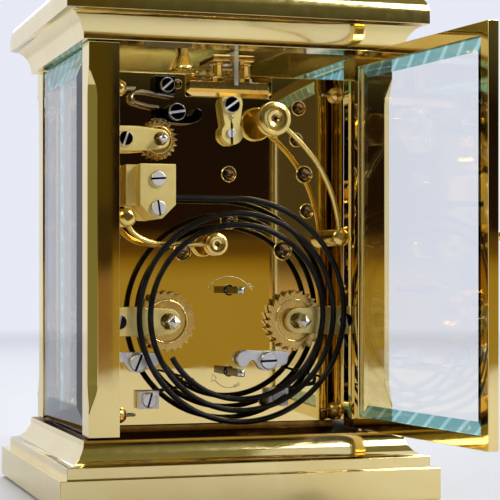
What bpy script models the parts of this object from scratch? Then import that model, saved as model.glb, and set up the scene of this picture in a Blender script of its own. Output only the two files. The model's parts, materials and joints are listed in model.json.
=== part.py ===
# Carriage clock with gong strike and alarm: brass case, back door open, handle folded to the rear.
# +Z is up, the dial faces -Y, and the origin is the middle of the underside of the base.
# Right and left are as seen from the dial, so right is +X.
import math

import bmesh
import bpy
from mathutils import Matrix, Vector

MM = 0.001

# Gaps between pieces that rest on each other, and round pieces that turn or slide
SEAT_GAP = 0.3 * MM
RUN_GAP = 0.3 * MM
# How far shapes reach into each other before they are joined or cut
OVERLAP = 1.0 * MM

# Case
CASE_WIDTH = 82.0 * MM
CASE_DEPTH = 70.5 * MM
BASE_HEIGHT = 17.5 * MM
COLUMN_HEIGHT = 99.2 * MM
CORNICE_HEIGHT = 14.5 * MM
PILLAR_SIDE = 7.9 * MM
CHAMFER = 2.3 * MM
CHAMFER_START = 5.0 * MM
CHAMFER_STOP = 8.7 * MM
LEDGE = 1.6 * MM
COVE_OUT = 5.25 * MM
COVE_STEPS = 6
BASE_COVE_DROP = 6.1 * MM
BASE_FILLET = 2.9 * MM
PLINTH_STEP = 2.1 * MM
PLINTH_CHAMFER = 0.5 * MM
CORNICE_COVE_RISE = 6.9 * MM
CORNICE_FILLET = 3.0 * MM
CORNICE_ROUND = 3.4 * MM
CORNICE_WELL = 8.6 * MM
SEAT_HEIGHT = 1.7 * MM

# Bevelled glasses
GLASS_THICKNESS = 2.2 * MM
GLASS_EDGE = 1.0 * MM
GLASS_BEVEL = 3.0 * MM
GLASS_RECESS = 1.2 * MM
GROOVE_DEPTH = 1.0 * MM
TOP_BORDER_X = 19.0 * MM
TOP_BORDER_Y = 16.0 * MM
TOP_GLASS_LIP = 1.5 * MM

# Back door
DOOR_THICKNESS = 2.8 * MM
DOOR_BAR = 3.3 * MM
DOOR_END_GAP = 0.9 * MM
DOOR_GLASS_THICKNESS = 1.5 * MM
DOOR_OPEN = math.radians(96.5)
DOOR_PIN_RADIUS = 0.8 * MM
DOOR_PIN_REACH = 1.4 * MM
KNOB_RADIUS = 2.1 * MM
KNOB_LENGTH = 4.6 * MM

# Handle and its posts
HANDLE_REACH = 25.0 * MM
HANDLE_RADIUS = 2.0 * MM
HANDLE_EYE_RADIUS = 2.9 * MM
HANDLE_EYE_WIDTH = 2.2 * MM
HANDLE_PIN_RADIUS = 1.0 * MM
HANDLE_POINTS = 25
HANDLE_DROOP = math.radians(9.0)
POST_HEIGHT = 6.5 * MM
POST_RADIUS = 2.3 * MM
POST_FOOT_RADIUS = 3.4 * MM
POST_MARGIN = 0.7 * MM
POST_BALL_RADIUS = 3.0 * MM

# Repeat button
BUTTON_SETBACK = 10.9 * MM
BUTTON_RADIUS = 2.4 * MM
BUTTON_RISE = 3.4 * MM
BUTTON_TRAVEL = 2.4 * MM
BUTTON_SHANK_RADIUS = 1.2 * MM
BUTTON_NUT_RADIUS = 2.6 * MM
BUTTON_NUT_HEIGHT = 4.2 * MM
BUTTON_NUT_DROP = 2.0 * MM

# Movement frame. It slides in between the pillars. Heights in it are above the top of the base, as shares
# of the columns' height, and places across it are shares of the plates' width.
PLATE_SIDE_ROOM = 0.7 * MM
PLATE_WIDTH = CASE_WIDTH - 2 * (PILLAR_SIDE + PLATE_SIDE_ROOM)
PLATE_BOTTOM = 2.0 * MM
PLATE_TOP = 0.9435 * COLUMN_HEIGHT
PLATE_THICKNESS = 2.3 * MM
DOOR_ROOM = 15.45 * MM
DIAL_ROOM = 15.95 * MM
FRAME_PILLAR_X = 0.4630 * PLATE_WIDTH
FRAME_PILLAR_LOW = 4.7 * MM
FRAME_PILLAR_HIGH = 0.9002 * COLUMN_HEIGHT
FRAME_PILLAR_RADIUS = 2.4 * MM
TENON_RADIUS = 1.6 * MM
TENON_LENGTH = 1.9 * MM

# Winding arbors, ratchets, clicks and cocks behind the back plate
WINDING_X = 0.2731 * PLATE_WIDTH
WINDING_Z = 0.2913 * COLUMN_HEIGHT
ALARM_X = 0.3071 * PLATE_WIDTH
ALARM_Z = 0.7661 * COLUMN_HEIGHT
ARBOR_RADIUS = 1.8 * MM
ARBOR_SQUARE = 2.6 * MM
ARBOR_REACH = 11.2 * MM
ALARM_ARBOR_RADIUS = 1.4 * MM
ALARM_ARBOR_SQUARE = 2.0 * MM
ALARM_ARBOR_REACH = 9.2 * MM
RATCHET_RADIUS = 8.1 * MM
RATCHET_TEETH = 24
ALARM_RATCHET_RADIUS = 5.2 * MM
ALARM_RATCHET_TEETH = 22
TOOTH_DEPTH = 1.15 * MM
RATCHET_STANDOFF = 0.6 * MM
RATCHET_THICKNESS = 2.0 * MM
RATCHET_DISH = 0.5 * MM
COCK_THICKNESS = 1.8 * MM
COCK_WIDTH = 7.4 * MM
COCK_EYE_RADIUS = 3.3 * MM
COCK_FOOT_ROOM = 1.0 * MM
ALARM_COCK_WIDTH = 6.4 * MM
ALARM_COCK_EYE_RADIUS = 2.5 * MM
CLICK_THICKNESS = 1.8 * MM
CLICK_BOSS_RADIUS = 2.7 * MM
CLICK_STUD_RADIUS = 1.0 * MM
CLICK_OFFSET_X = 7.7 * MM
CLICK_OFFSET_Z = -10.6 * MM
CLICK_NOSE_WIDTH = 2.6 * MM
CLICK_TAIL = 8.0 * MM
CLICK_TAIL_WIDTH = 2.5 * MM
CLICK_TAIL_CURL = math.radians(-125.0)
ALARM_CLICK_TAIL = 6.9 * MM
ALARM_CLICK_TAIL_CURL = math.radians(-95.0)
ALARM_CLICK_OFFSET_X = -4.9 * MM
ALARM_CLICK_OFFSET_Z = 7.3 * MM
SPRING_WIRE_RADIUS = 0.3 * MM
SPRING_BLOCK_WIDTH = 5.4 * MM
SPRING_BLOCK_HEIGHT = 4.6 * MM
SPRING_BLOCK_DEPTH = 2.6 * MM
SPRING_BLOCK_OFFSET_X = 4.8 * MM
SPRING_BLOCK_OFFSET_Z = -20.3 * MM
SPRING_LOOP_OFFSET_X = -6.2 * MM
SPRING_LOOP_OFFSET_Z = -15.9 * MM
SPRING_LOOP_RADIUS = 1.1 * MM
SPRING_LOOP_PITCH = 1.2 * MM
ALARM_SPRING_OFFSET_X = -2.2 * MM
ALARM_SPRING_OFFSET_Z = 14.2 * MM
ALARM_SPRING_ROOM = 1.5 * MM
ALARM_SPRING_TILT = 1.0 * MM

# Gong, its block and the hammers
GONG_WIRE_RADIUS = 0.75 * MM
GONG_STANDOFF = 7.4 * MM
GONG_X = -1.0 * MM
GONG_Z = 0.3085 * COLUMN_HEIGHT
GONG_SIDE_ROOM = 2.8 * MM
GONG_FLOOR_ROOM = 2.0 * MM
GONG_RADIUS = min(PLATE_WIDTH / 2 + GONG_X - GONG_SIDE_ROOM, GONG_Z - GONG_FLOOR_ROOM)
GONG_PITCH = 2.95 * MM
GONG_RUN_RISE = 1.55 * MM
GONG_TURNS = 2.665
GONG_POINTS_PER_LOOP = 24
BLOCK_RIGHT = 0.4074 * PLATE_WIDTH
BLOCK_LEFT = 0.2608 * PLATE_WIDTH
BLOCK_TOP = 0.6986 * COLUMN_HEIGHT
BLOCK_BOTTOM = 0.5575 * COLUMN_HEIGHT
BLOCK_DEPTH = 9.0 * MM
BLOCK_CORNER = 3.6 * MM
BLOCK_FOOT_REACH = 2.7 * MM
BLOCK_FOOT_DEPTH = 4.6 * MM
GONG_ENTRY = 4.0 * MM
HAMMER_HEAD_LENGTH = 3.8 * MM
HAMMER_ARM_RADIUS = 0.75 * MM
HAMMER_GROOVE = 0.3 * MM
HAMMER_HUB_RADIUS = 2.4 * MM
HAMMER_ARBOR_RADIUS = 0.9 * MM
STRIKE_HEAD_RADIUS = 4.1 * MM
STRIKE_HEAD_X = -0.1512 * PLATE_WIDTH
STRIKE_HEAD_Z = 0.8236 * COLUMN_HEIGHT
STRIKE_PIVOT_X = -0.4383 * PLATE_WIDTH
STRIKE_PIVOT_Z = 0.5131 * COLUMN_HEIGHT
STRIKE_ARM_BOW = 4.6 * MM
STRIKE_HEAD_STANDOFF = 5.9 * MM
ALARM_HEAD_RADIUS = 3.0 * MM
ALARM_HEAD_X = 0.0849 * PLATE_WIDTH
ALARM_HEAD_DROP = 10.3 * MM
ALARM_HEAD_Z = GONG_Z + GONG_RADIUS - ALARM_HEAD_DROP
ALARM_PIVOT_X = 0.4475 * PLATE_WIDTH
ALARM_PIVOT_Z = 0.5605 * COLUMN_HEIGHT
ALARM_ARM_DROP = 5.0 * MM
ALARM_HEAD_STANDOFF = 4.2 * MM
ALARM_ARM_STANDOFF = 5.4 * MM

# Setting arbors, motion work, dial and hands
SET_Z = 0.3730 * COLUMN_HEIGHT
ALARM_SET_Z = 0.1573 * COLUMN_HEIGHT
SET_ARBOR_RADIUS = 1.1 * MM
SET_SQUARE = 1.9 * MM
SET_REACH = 11.4 * MM
DIAL_Z = 0.5585 * COLUMN_HEIGHT
DIAL_MARGIN = 0.2 * MM
DIAL_BOTTOM = 1.2 * MM
DIAL_TOP = 0.9879 * COLUMN_HEIGHT
DIAL_THICKNESS = 1.2 * MM
DIAL_STANDOFF = 6.2 * MM
DIAL_FOOT_RADIUS = 1.0 * MM
HAND_THICKNESS = 0.6 * MM
HAND_SPACING = 0.6 * MM
MINUTE_LENGTH = 25.0 * MM
HOUR_LENGTH = 17.0 * MM
ALARM_HAND_LENGTH = 7.0 * MM
HAND_WIDTH = 1.5 * MM
HAND_BOSS_RADIUS = 1.9 * MM
HAND_ARBOR_RADIUS = 0.8 * MM
HOUR_PIPE_RADIUS = 1.7 * MM
MINUTE_ANGLE = math.radians(36.0)
HOUR_ANGLE = math.radians(147.0)
ALARM_HAND_ANGLE = math.radians(90.0)
MOTION_WHEEL_THICKNESS = 1.1 * MM
MOTION_LAYER_GAP = 0.8 * MM
MINUTE_WHEEL_TEETH = 36
CANNON_TEETH = 12
HOUR_WHEEL_TEETH = 36
HOUR_PINION_TEETH = 9

# Barrels and trains between the plates
WHEEL_THICKNESS = 1.5 * MM
PINION_MARGIN = 0.8 * MM
TRAIN_ARBOR_RADIUS = 0.9 * MM
BARREL_RADIUS = 12.4 * MM
BARREL_LENGTH = 14.0 * MM
BARREL_FRONT = 4.2 * MM
STRIKE_BARREL_FRONT = 6.8 * MM
ALARM_BARREL_RADIUS = 8.0 * MM
ALARM_BARREL_LENGTH = 12.0 * MM
ALARM_BARREL_FLANGE = 1.2 * MM
BARREL_TEETH = 36
INTERMEDIATE_X = 0.1960 * PLATE_WIDTH
INTERMEDIATE_Z = 0.4748 * COLUMN_HEIGHT
INTERMEDIATE_PINION_TEETH = 9
INTERMEDIATE_TEETH = 32
CENTRE_PINION_TEETH = 8
CENTRE_TEETH = 40
THIRD_Z = 0.6815 * COLUMN_HEIGHT
THIRD_PINION_TEETH = 8
THIRD_TEETH = 32
CONTRATE_Z = 0.7873 * COLUMN_HEIGHT
CONTRATE_PINION_TEETH = 8
CONTRATE_TEETH = 30
CONTRATE_RADIUS = 6.0 * MM
CONTRATE_TOOTH = 1.2 * MM
CONTRATE_RIM = 1.0 * MM
STRIKE_WHEEL_X = -0.2315 * PLATE_WIDTH
STRIKE_WHEEL_Z = 0.4788 * COLUMN_HEIGHT
STRIKE_WHEEL_PINION_TEETH = 9
STRIKE_WHEEL_TEETH = 40
PIN_WHEEL_X = -0.3364 * PLATE_WIDTH
PIN_WHEEL_Z = 0.5857 * COLUMN_HEIGHT
PIN_WHEEL_PINION_TEETH = 8
PIN_WHEEL_TEETH = 36
PIN_COUNT = 8
PIN_RADIUS = 0.45 * MM
PIN_LENGTH = 2.4 * MM
FLY_X = -0.3256 * PLATE_WIDTH
FLY_Z = 0.6845 * COLUMN_HEIGHT
FLY_PINION_TEETH = 6
FLY_BLADE = 4.6 * MM
FLY_BLADE_LENGTH = 9.0 * MM
FLY_BLADE_THICKNESS = 0.6 * MM

# Contrate cock and platform escapement
CONTRATE_COCK_HIGH = 0.8660 * COLUMN_HEIGHT
CONTRATE_COCK_HIGH_RADIUS = 2.9 * MM
CONTRATE_COCK_LOW_RADIUS = 2.6 * MM
CONTRATE_COCK_SPLIT = 0.35 * MM
CONTRATE_COCK_THICKNESS = 2.7 * MM
PLATFORM_WIDTH = 23.6 * MM
PLATFORM_BED = 2.1 * MM
PLATFORM_UNDERSIDE = 0.8861 * COLUMN_HEIGHT
PLATFORM_PLATE = 1.9 * MM
PLATFORM_PLATE_INSET = 1.1 * MM
PLATFORM_BED_BEVEL = 1.6 * MM
PLATFORM_SIDE_ROOM = 1.8 * MM
PLATFORM_OVERHANG = 0.5 * MM
BALANCE_X = -1.7 * MM
BALANCE_SETBACK = 13.3 * MM
BALANCE_RADIUS = 7.4 * MM
BALANCE_RIM = 1.0 * MM
BALANCE_DEPTH = 1.2 * MM
BALANCE_RISE = 2.9 * MM
BALANCE_STAFF_RADIUS = 0.45 * MM
BALANCE_ARM_WIDTH = 1.3 * MM
COCK_RISE = 5.7 * MM
PLATFORM_COCK_THICKNESS = 1.6 * MM
PLATFORM_COCK_WIDTH = 11.4 * MM
PLATFORM_POST_RADIUS = 1.35 * MM
PLATFORM_POST_SPREAD = 7.5 * MM
PLATFORM_POST_SETBACK = 3.7 * MM
ESCAPE_SPACING = 10.8 * MM
ESCAPE_RADIUS = 3.2 * MM
ESCAPE_TEETH = 15
ESCAPE_RISE = 0.9 * MM
ESCAPE_PINION_RADIUS = 0.9 * MM
ESCAPE_PINION_LENGTH = 3.6 * MM
ESCAPE_ARBOR_RADIUS = 0.45 * MM
INDEX_WIDTH = 1.1 * MM
INDEX_THICKNESS = 0.5 * MM
INDEX_DROP = 9.0 * MM
INDEX_EYE_RADIUS = 2.0 * MM

# Levels and planes that follow from the sizes above
BASE_TOP = BASE_HEIGHT
SOFFIT = BASE_TOP + COLUMN_HEIGHT
CASE_TOP = SOFFIT + CORNICE_HEIGHT
TOP_GLASS_WIDTH = CASE_WIDTH - 2 * TOP_BORDER_X
TOP_GLASS_DEPTH = CASE_DEPTH - 2 * TOP_BORDER_Y
HALF_WIDTH = CASE_WIDTH / 2
HALF_DEPTH = CASE_DEPTH / 2
INSIDE_X = HALF_WIDTH - PILLAR_SIDE
INSIDE_Y = HALF_DEPTH - PILLAR_SIDE
BACK_PLATE_REAR = HALF_DEPTH - DOOR_ROOM
BACK_PLATE_FRONT = BACK_PLATE_REAR - PLATE_THICKNESS
FRONT_PLATE_FRONT = DIAL_ROOM - HALF_DEPTH
FRONT_PLATE_REAR = FRONT_PLATE_FRONT + PLATE_THICKNESS
PLATE_SPACING = BACK_PLATE_FRONT - FRONT_PLATE_REAR
ARBOR_FRONT = FRONT_PLATE_REAR + SEAT_GAP
ARBOR_REAR = BACK_PLATE_FRONT - SEAT_GAP
PLATFORM_TOP = BASE_TOP + PLATFORM_UNDERSIDE + PLATFORM_BED + PLATFORM_PLATE
PLATFORM_REAR = BACK_PLATE_REAR + PLATFORM_OVERHANG
BALANCE_Y = PLATFORM_REAR - BALANCE_SETBACK
ESCAPE_Y = BALANCE_Y - ESCAPE_SPACING
COCK_TOP = PLATFORM_TOP + COCK_RISE + PLATFORM_COCK_THICKNESS
DOOR_PIN_X = -INSIDE_X + SEAT_GAP + DOOR_THICKNESS / 2
DOOR_PIN_Y = HALF_DEPTH - DOOR_THICKNESS / 2
DOOR_WIDTH = 2 * (INSIDE_X - SEAT_GAP)

LOOKS = {
    "gilt_brass": ((0.83, 0.62, 0.24), 0.16, 1.0),
    "frosted_brass": ((0.80, 0.62, 0.28), 0.42, 1.0),
    "bright_steel": ((0.70, 0.71, 0.74), 0.20, 1.0),
    "black_steel": ((0.035, 0.035, 0.04), 0.38, 0.7),
    "blued_steel": ((0.05, 0.06, 0.10), 0.22, 1.0),
    "glass": ((0.86, 0.95, 0.93), 0.03, 0.0),
    "enamel": ((0.92, 0.91, 0.87), 0.25, 0.0),
}


def clear_scene():
    for thing in list(bpy.data.objects):
        bpy.data.objects.remove(thing, do_unlink=True)


def look_material(name, look):
    colour, roughness, metallic = LOOKS[look]
    material = bpy.data.materials.new(f"{name}_{look}")
    material.use_nodes = True
    shader = material.node_tree.nodes["Principled BSDF"]
    shader.inputs["Base Color"].default_value = (*colour, 1.0)
    shader.inputs["Roughness"].default_value = roughness
    shader.inputs["Metallic"].default_value = metallic
    if look == "glass":
        shader.inputs["Transmission Weight"].default_value = 1.0
    return material


def add_part(name, mesh, look, pivot=(0.0, 0.0, 0.0), parent=None):
    mesh.name = name
    mesh.transform(Matrix.Translation(-Vector(pivot)))
    mesh.materials.clear()
    mesh.materials.append(look_material(name, look))
    mesh.shade_smooth()
    mesh.set_sharp_from_angle(angle=math.radians(30))
    part = bpy.data.objects.new(name, mesh)
    part.location = pivot
    part.parent = parent
    bpy.context.scene.collection.objects.link(part)
    return part


def loft(rings, ring_closed=False):
    """Skin a row of equal rings of points, with end faces, or run the last ring on to the first."""
    shape = bmesh.new()
    rows = [[shape.verts.new(point) for point in ring] for ring in rings]
    pairs = list(zip(rows, rows[1:]))
    if ring_closed:
        pairs.append((rows[-1], rows[0]))
    for low, high in pairs:
        for i in range(len(low)):
            j = (i + 1) % len(low)
            shape.faces.new((low[i], low[j], high[j], high[i]))
    if not ring_closed:
        shape.faces.new(rows[0])
        shape.faces.new(rows[-1])
    bmesh.ops.recalc_face_normals(shape, faces=shape.faces)
    mesh = bpy.data.meshes.new("shape")
    shape.to_mesh(mesh)
    shape.free()
    return mesh


def prism(outline, front, rear):
    """An outline of (x, z) points between two planes of Y."""
    return loft([[(x, y, z) for x, z in outline] for y in (front, rear)])


def box(low, high):
    outline = [(low[0], low[2]), (high[0], low[2]), (high[0], high[2]), (low[0], high[2])]
    return prism(outline, low[1], high[1])


def turned(profile, centre, axis="Y", segments=24, ring_closed=False):
    """A profile of (radius, along) pairs turned round an axis through a centre."""
    rings = []
    for radius, along in profile:
        ring = []
        for i in range(segments):
            angle = 2 * math.pi * i / segments
            across, up = radius * math.cos(angle), radius * math.sin(angle)
            offset = {"X": (along, across, up), "Y": (across, along, up), "Z": (across, up, along)}[axis]
            ring.append(Vector(centre) + Vector(offset))
        rings.append(ring)
    return loft(rings, ring_closed)


def rod(radius, centre, start, end, axis="Y", segments=16):
    return turned([(radius, start), (radius, end)], centre, axis, segments)


def combine(mesh, tools, operation):
    target = bpy.data.objects.new("target", mesh)
    helpers = [bpy.data.objects.new("helper", tool) for tool in tools]
    for thing in (target, *helpers):
        bpy.context.scene.collection.objects.link(thing)
    for helper in helpers:
        modifier = target.modifiers.new("combine", "BOOLEAN")
        modifier.operation = operation
        modifier.solver = "EXACT"
        modifier.object = helper
    graph = bpy.context.evaluated_depsgraph_get()
    result = bpy.data.meshes.new_from_object(target.evaluated_get(graph))
    for thing in (target, *helpers):
        bpy.data.objects.remove(thing, do_unlink=True)
    return result


def fuse(mesh, *tools):
    return combine(mesh, tools, "UNION")


def cut(mesh, *tools):
    return combine(mesh, tools, "DIFFERENCE")


def wire_curve(name, points, radius, resolution):
    curve = bpy.data.curves.new(name, "CURVE")
    curve.dimensions = "3D"
    curve.bevel_depth = radius
    curve.bevel_resolution = resolution
    curve.use_fill_caps = True
    spline = curve.splines.new("POLY")
    spline.points.add(len(points) - 1)
    for slot, point in zip(spline.points, points):
        slot.co = (*point, 1.0)
    return curve


def wire(points, radius, resolution=1):
    """A tube along points, as a mesh that other shapes can be joined to."""
    holder = bpy.data.objects.new("holder", wire_curve("wire", points, radius, resolution))
    bpy.context.scene.collection.objects.link(holder)
    graph = bpy.context.evaluated_depsgraph_get()
    mesh = bpy.data.meshes.new_from_object(holder.evaluated_get(graph))
    bpy.data.objects.remove(holder, do_unlink=True)
    return mesh


def polar(centre, radius, angle):
    """The (x, z) point at an angle from +X towards +Z."""
    return (centre[0] + radius * math.cos(angle), centre[1] + radius * math.sin(angle))


def arc(centre, radius, start, end, steps):
    return [polar(centre, radius, start + (end - start) * i / steps) for i in range(steps + 1)]


def facing(start, end):
    return math.atan2(end[1] - start[1], end[0] - start[0])


def gear_outline(centre, teeth, module, phase):
    """Pointed teeth with a tip at the phase angle, cut deeper than they reach so that pairs run free."""
    radius = module * teeth / 2
    reach, depth = 0.6 * module, 1.1 * module
    points = []
    for i in range(teeth):
        angle = phase + 2 * math.pi * i / teeth
        points.append(polar(centre, radius + reach, angle))
        points.append(polar(centre, radius - depth, angle + math.pi / teeth))
    return points


def pair_module(wheel, pinion, wheel_teeth, pinion_teeth):
    return 2 * math.dist(wheel, pinion) / (wheel_teeth + pinion_teeth)


def wheel_outline(wheel, pinion, wheel_teeth, pinion_teeth):
    module = pair_module(wheel, pinion, wheel_teeth, pinion_teeth)
    return gear_outline(wheel, wheel_teeth, module, facing(wheel, pinion))


def pinion_outline(wheel, pinion, wheel_teeth, pinion_teeth):
    module = pair_module(wheel, pinion, wheel_teeth, pinion_teeth)
    return gear_outline(pinion, pinion_teeth, module, facing(pinion, wheel) + math.pi / pinion_teeth)


def ratchet_outline(centre, radius, teeth):
    """Saw teeth whose steep sides stop the wheel from running back against its click."""
    points = []
    for i in range(teeth):
        angle = 2 * math.pi * i / teeth
        points.append(polar(centre, radius, angle))
        points.append(polar(centre, radius - TOOTH_DEPTH, angle + 0.12 * math.pi / teeth))
    return points


def band_outline(spine, widths):
    """The outline of a strip that follows a spine of (x, z) points, with a width at each."""
    left, right = [], []
    for i, (x, z) in enumerate(spine):
        before, after = spine[max(i - 1, 0)], spine[min(i + 1, len(spine) - 1)]
        angle = facing(before, after) + math.pi / 2
        across, up = math.cos(angle) * widths[i] / 2, math.sin(angle) * widths[i] / 2
        left.append((x + across, z + up))
        right.append((x - across, z - up))
    return left + right[::-1]


def rectangle_ring(half_x, half_y, z):
    return [(half_x, half_y, z), (-half_x, half_y, z), (-half_x, -half_y, z), (half_x, -half_y, z)]


def moulding(profile):
    """A rectangular moulded block: each profile point is an offset from the pillars' faces and a height."""
    return loft([rectangle_ring(HALF_WIDTH + out, HALF_DEPTH + out, z) for out, z in profile])


def cove(start_z, height):
    """A hollow quarter curve that leaves the ledge upright and ends level, COVE_OUT further out."""
    points = []
    for i in range(COVE_STEPS + 1):
        angle = math.pi / 2 * i / COVE_STEPS
        points.append((LEDGE + COVE_OUT * (1 - math.cos(angle)), start_z + height * math.sin(angle)))
    return points


def door_pin_socket(z_low, z_high):
    return rod(DOOR_PIN_RADIUS + RUN_GAP, (DOOR_PIN_X, DOOR_PIN_Y, 0), z_low, z_high, "Z")


def build_base():
    edge = LEDGE + COVE_OUT
    foot = edge + PLINTH_STEP
    fillet_bottom = BASE_TOP - BASE_COVE_DROP - BASE_FILLET
    profile = cove(BASE_TOP, -BASE_COVE_DROP)
    profile += [(edge, fillet_bottom), (foot, fillet_bottom), (foot, PLINTH_CHAMFER)]
    profile += [(foot - PLINTH_CHAMFER, 0)]
    half_seat = PLATE_WIDTH / 2 - PLATE_THICKNESS
    seat = box(
        (-half_seat, FRONT_PLATE_FRONT, BASE_TOP - OVERLAP),
        (half_seat, BACK_PLATE_FRONT, BASE_TOP + SEAT_HEIGHT),
    )
    socket_bottom = BASE_TOP - DOOR_PIN_REACH - RUN_GAP
    block = fuse(moulding(profile), seat)
    return cut(block, door_pin_socket(socket_bottom, BASE_TOP + OVERLAP / 2))


def build_cornice():
    edge = LEDGE + COVE_OUT
    fillet_top = SOFFIT + CORNICE_COVE_RISE + CORNICE_FILLET
    profile = cove(SOFFIT, CORNICE_COVE_RISE)
    rise = CASE_TOP - fillet_top
    for i in range(COVE_STEPS + 1):
        angle = math.pi / 2 * i / COVE_STEPS
        profile.append((edge - CORNICE_ROUND * (1 - math.cos(angle)), fillet_top + rise * math.sin(angle)))
    well_top = SOFFIT + CORNICE_WELL
    well = box((-INSIDE_X, -INSIDE_Y, SOFFIT - OVERLAP), (INSIDE_X, INSIDE_Y, well_top))
    half_x, half_y = TOP_GLASS_WIDTH / 2, TOP_GLASS_DEPTH / 2
    opening_x, opening_y = half_x - TOP_GLASS_LIP, half_y - TOP_GLASS_LIP
    opening = box((-opening_x, -opening_y, well_top - OVERLAP), (opening_x, opening_y, CASE_TOP + OVERLAP))
    rebate_x, rebate_y = half_x + SEAT_GAP, half_y + SEAT_GAP
    rebate_floor = CASE_TOP - GLASS_THICKNESS - SEAT_GAP
    rebate = box((-rebate_x, -rebate_y, rebate_floor), (rebate_x, rebate_y, CASE_TOP + OVERLAP))
    button_y = -HALF_DEPTH + BUTTON_SETBACK
    bore = rod(BUTTON_SHANK_RADIUS + RUN_GAP, (0, button_y, 0), well_top - OVERLAP, CASE_TOP + OVERLAP, "Z")
    socket = door_pin_socket(SOFFIT - OVERLAP, SOFFIT + DOOR_PIN_REACH + RUN_GAP)
    return cut(moulding(profile), well, opening, rebate, bore, socket)


def chamfer_cutter(side_x, side_y):
    """A three-sided cutter whose depth swells from nothing to CHAMFER and back, with tongue-shaped stops."""
    low, high = BASE_TOP + CHAMFER_START, SOFFIT - CHAMFER_START
    steps = 6
    stations = []
    for i in range(steps + 1):
        share = i / steps
        depth = CHAMFER * share * share * (3 - 2 * share) - OVERLAP / 10
        stations.append((low + CHAMFER_STOP * share, depth))
    stations += [(low + high - z, depth) for z, depth in reversed(stations)]
    out_x, out_y = HALF_WIDTH + OVERLAP, HALF_DEPTH + OVERLAP
    rings = []
    for z, depth in stations:
        line = HALF_WIDTH + HALF_DEPTH - depth
        corners = [(out_x, out_y), (out_x, line - out_x), (line - out_y, out_y)]
        rings.append([(side_x * x, side_y * y, z) for x, y in corners])
    return loft(rings)


def build_pillar(side_x, side_y):
    low, high = BASE_TOP + SEAT_GAP, SOFFIT - SEAT_GAP
    xs = sorted((side_x * INSIDE_X, side_x * HALF_WIDTH))
    ys = sorted((side_y * INSIDE_Y, side_y * HALF_DEPTH))
    shaft = box((xs[0], ys[0], low), (xs[1], ys[1], high))
    inner = HALF_WIDTH - GLASS_RECESS - GLASS_THICKNESS - SEAT_GAP
    outer = HALF_WIDTH - GLASS_RECESS + SEAT_GAP
    xs = sorted((side_x * inner, side_x * outer))
    ys = sorted((side_y * (INSIDE_Y - OVERLAP), side_y * (INSIDE_Y + GROOVE_DEPTH)))
    tools = [chamfer_cutter(side_x, side_y)]
    tools.append(box((xs[0], ys[0], low - OVERLAP), (xs[1], ys[1], high + OVERLAP)))
    if side_y < 0:
        back = HALF_DEPTH - GLASS_RECESS - GLASS_THICKNESS - SEAT_GAP
        front = HALF_DEPTH - GLASS_RECESS + SEAT_GAP
        xs = sorted((side_x * (INSIDE_X - OVERLAP), side_x * (INSIDE_X + GROOVE_DEPTH)))
        tools.append(box((xs[0], -front, low - OVERLAP), (xs[1], -back, high + OVERLAP)))
    return cut(shaft, *tools)


def bevelled_pane(half_u, half_v, thickness, edge, bevel):
    """A pane in the XZ plane with its ground bevel on the +Y side and its back at Y 0."""
    rings = []
    for inset, y in ((0, 0), (0, edge), (bevel, thickness)):
        u, v = half_u - inset, half_v - inset
        rings.append([(u, y, v), (-u, y, v), (-u, y, -v), (u, y, -v)])
    return loft(rings)


def build_case_glass(turn, half_u, outer_face, centre_z, half_v):
    """A side or front pane: turned about Z so that its bevel faces out at outer_face."""
    pane = bevelled_pane(half_u, half_v, GLASS_THICKNESS, GLASS_EDGE, GLASS_BEVEL)
    shift = Matrix.Translation((0, outer_face - GLASS_THICKNESS, centre_z))
    pane.transform(Matrix.Rotation(turn, 4, "Z") @ shift)
    return pane


def add_case():
    add_part("base", build_base(), "gilt_brass")
    add_part("cornice", build_cornice(), "gilt_brass")
    for end, side_y in (("front", -1), ("rear", 1)):
        for hand, side_x in (("left", -1), ("right", 1)):
            add_part(f"pillar_{end}_{hand}", build_pillar(side_x, side_y), "gilt_brass")
    centre_z = (BASE_TOP + SOFFIT) / 2
    half_v = COLUMN_HEIGHT / 2 - SEAT_GAP
    side_half = INSIDE_Y + GROOVE_DEPTH - SEAT_GAP
    front_half = INSIDE_X + GROOVE_DEPTH - SEAT_GAP
    side_face = HALF_WIDTH - GLASS_RECESS
    front_face = HALF_DEPTH - GLASS_RECESS
    quarter = math.pi / 2
    add_part("glass_right", build_case_glass(-quarter, side_half, side_face, centre_z, half_v), "glass")
    add_part("glass_left", build_case_glass(quarter, side_half, side_face, centre_z, half_v), "glass")
    add_part("glass_front", build_case_glass(2 * quarter, front_half, front_face, centre_z, half_v), "glass")
    top = bevelled_pane(TOP_GLASS_WIDTH / 2, TOP_GLASS_DEPTH / 2, GLASS_THICKNESS, GLASS_EDGE, GLASS_BEVEL)
    top.transform(Matrix.Translation((0, 0, CASE_TOP - GLASS_THICKNESS)) @ Matrix.Rotation(quarter, 4, "X"))
    add_part("glass_top", top, "glass")


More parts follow.
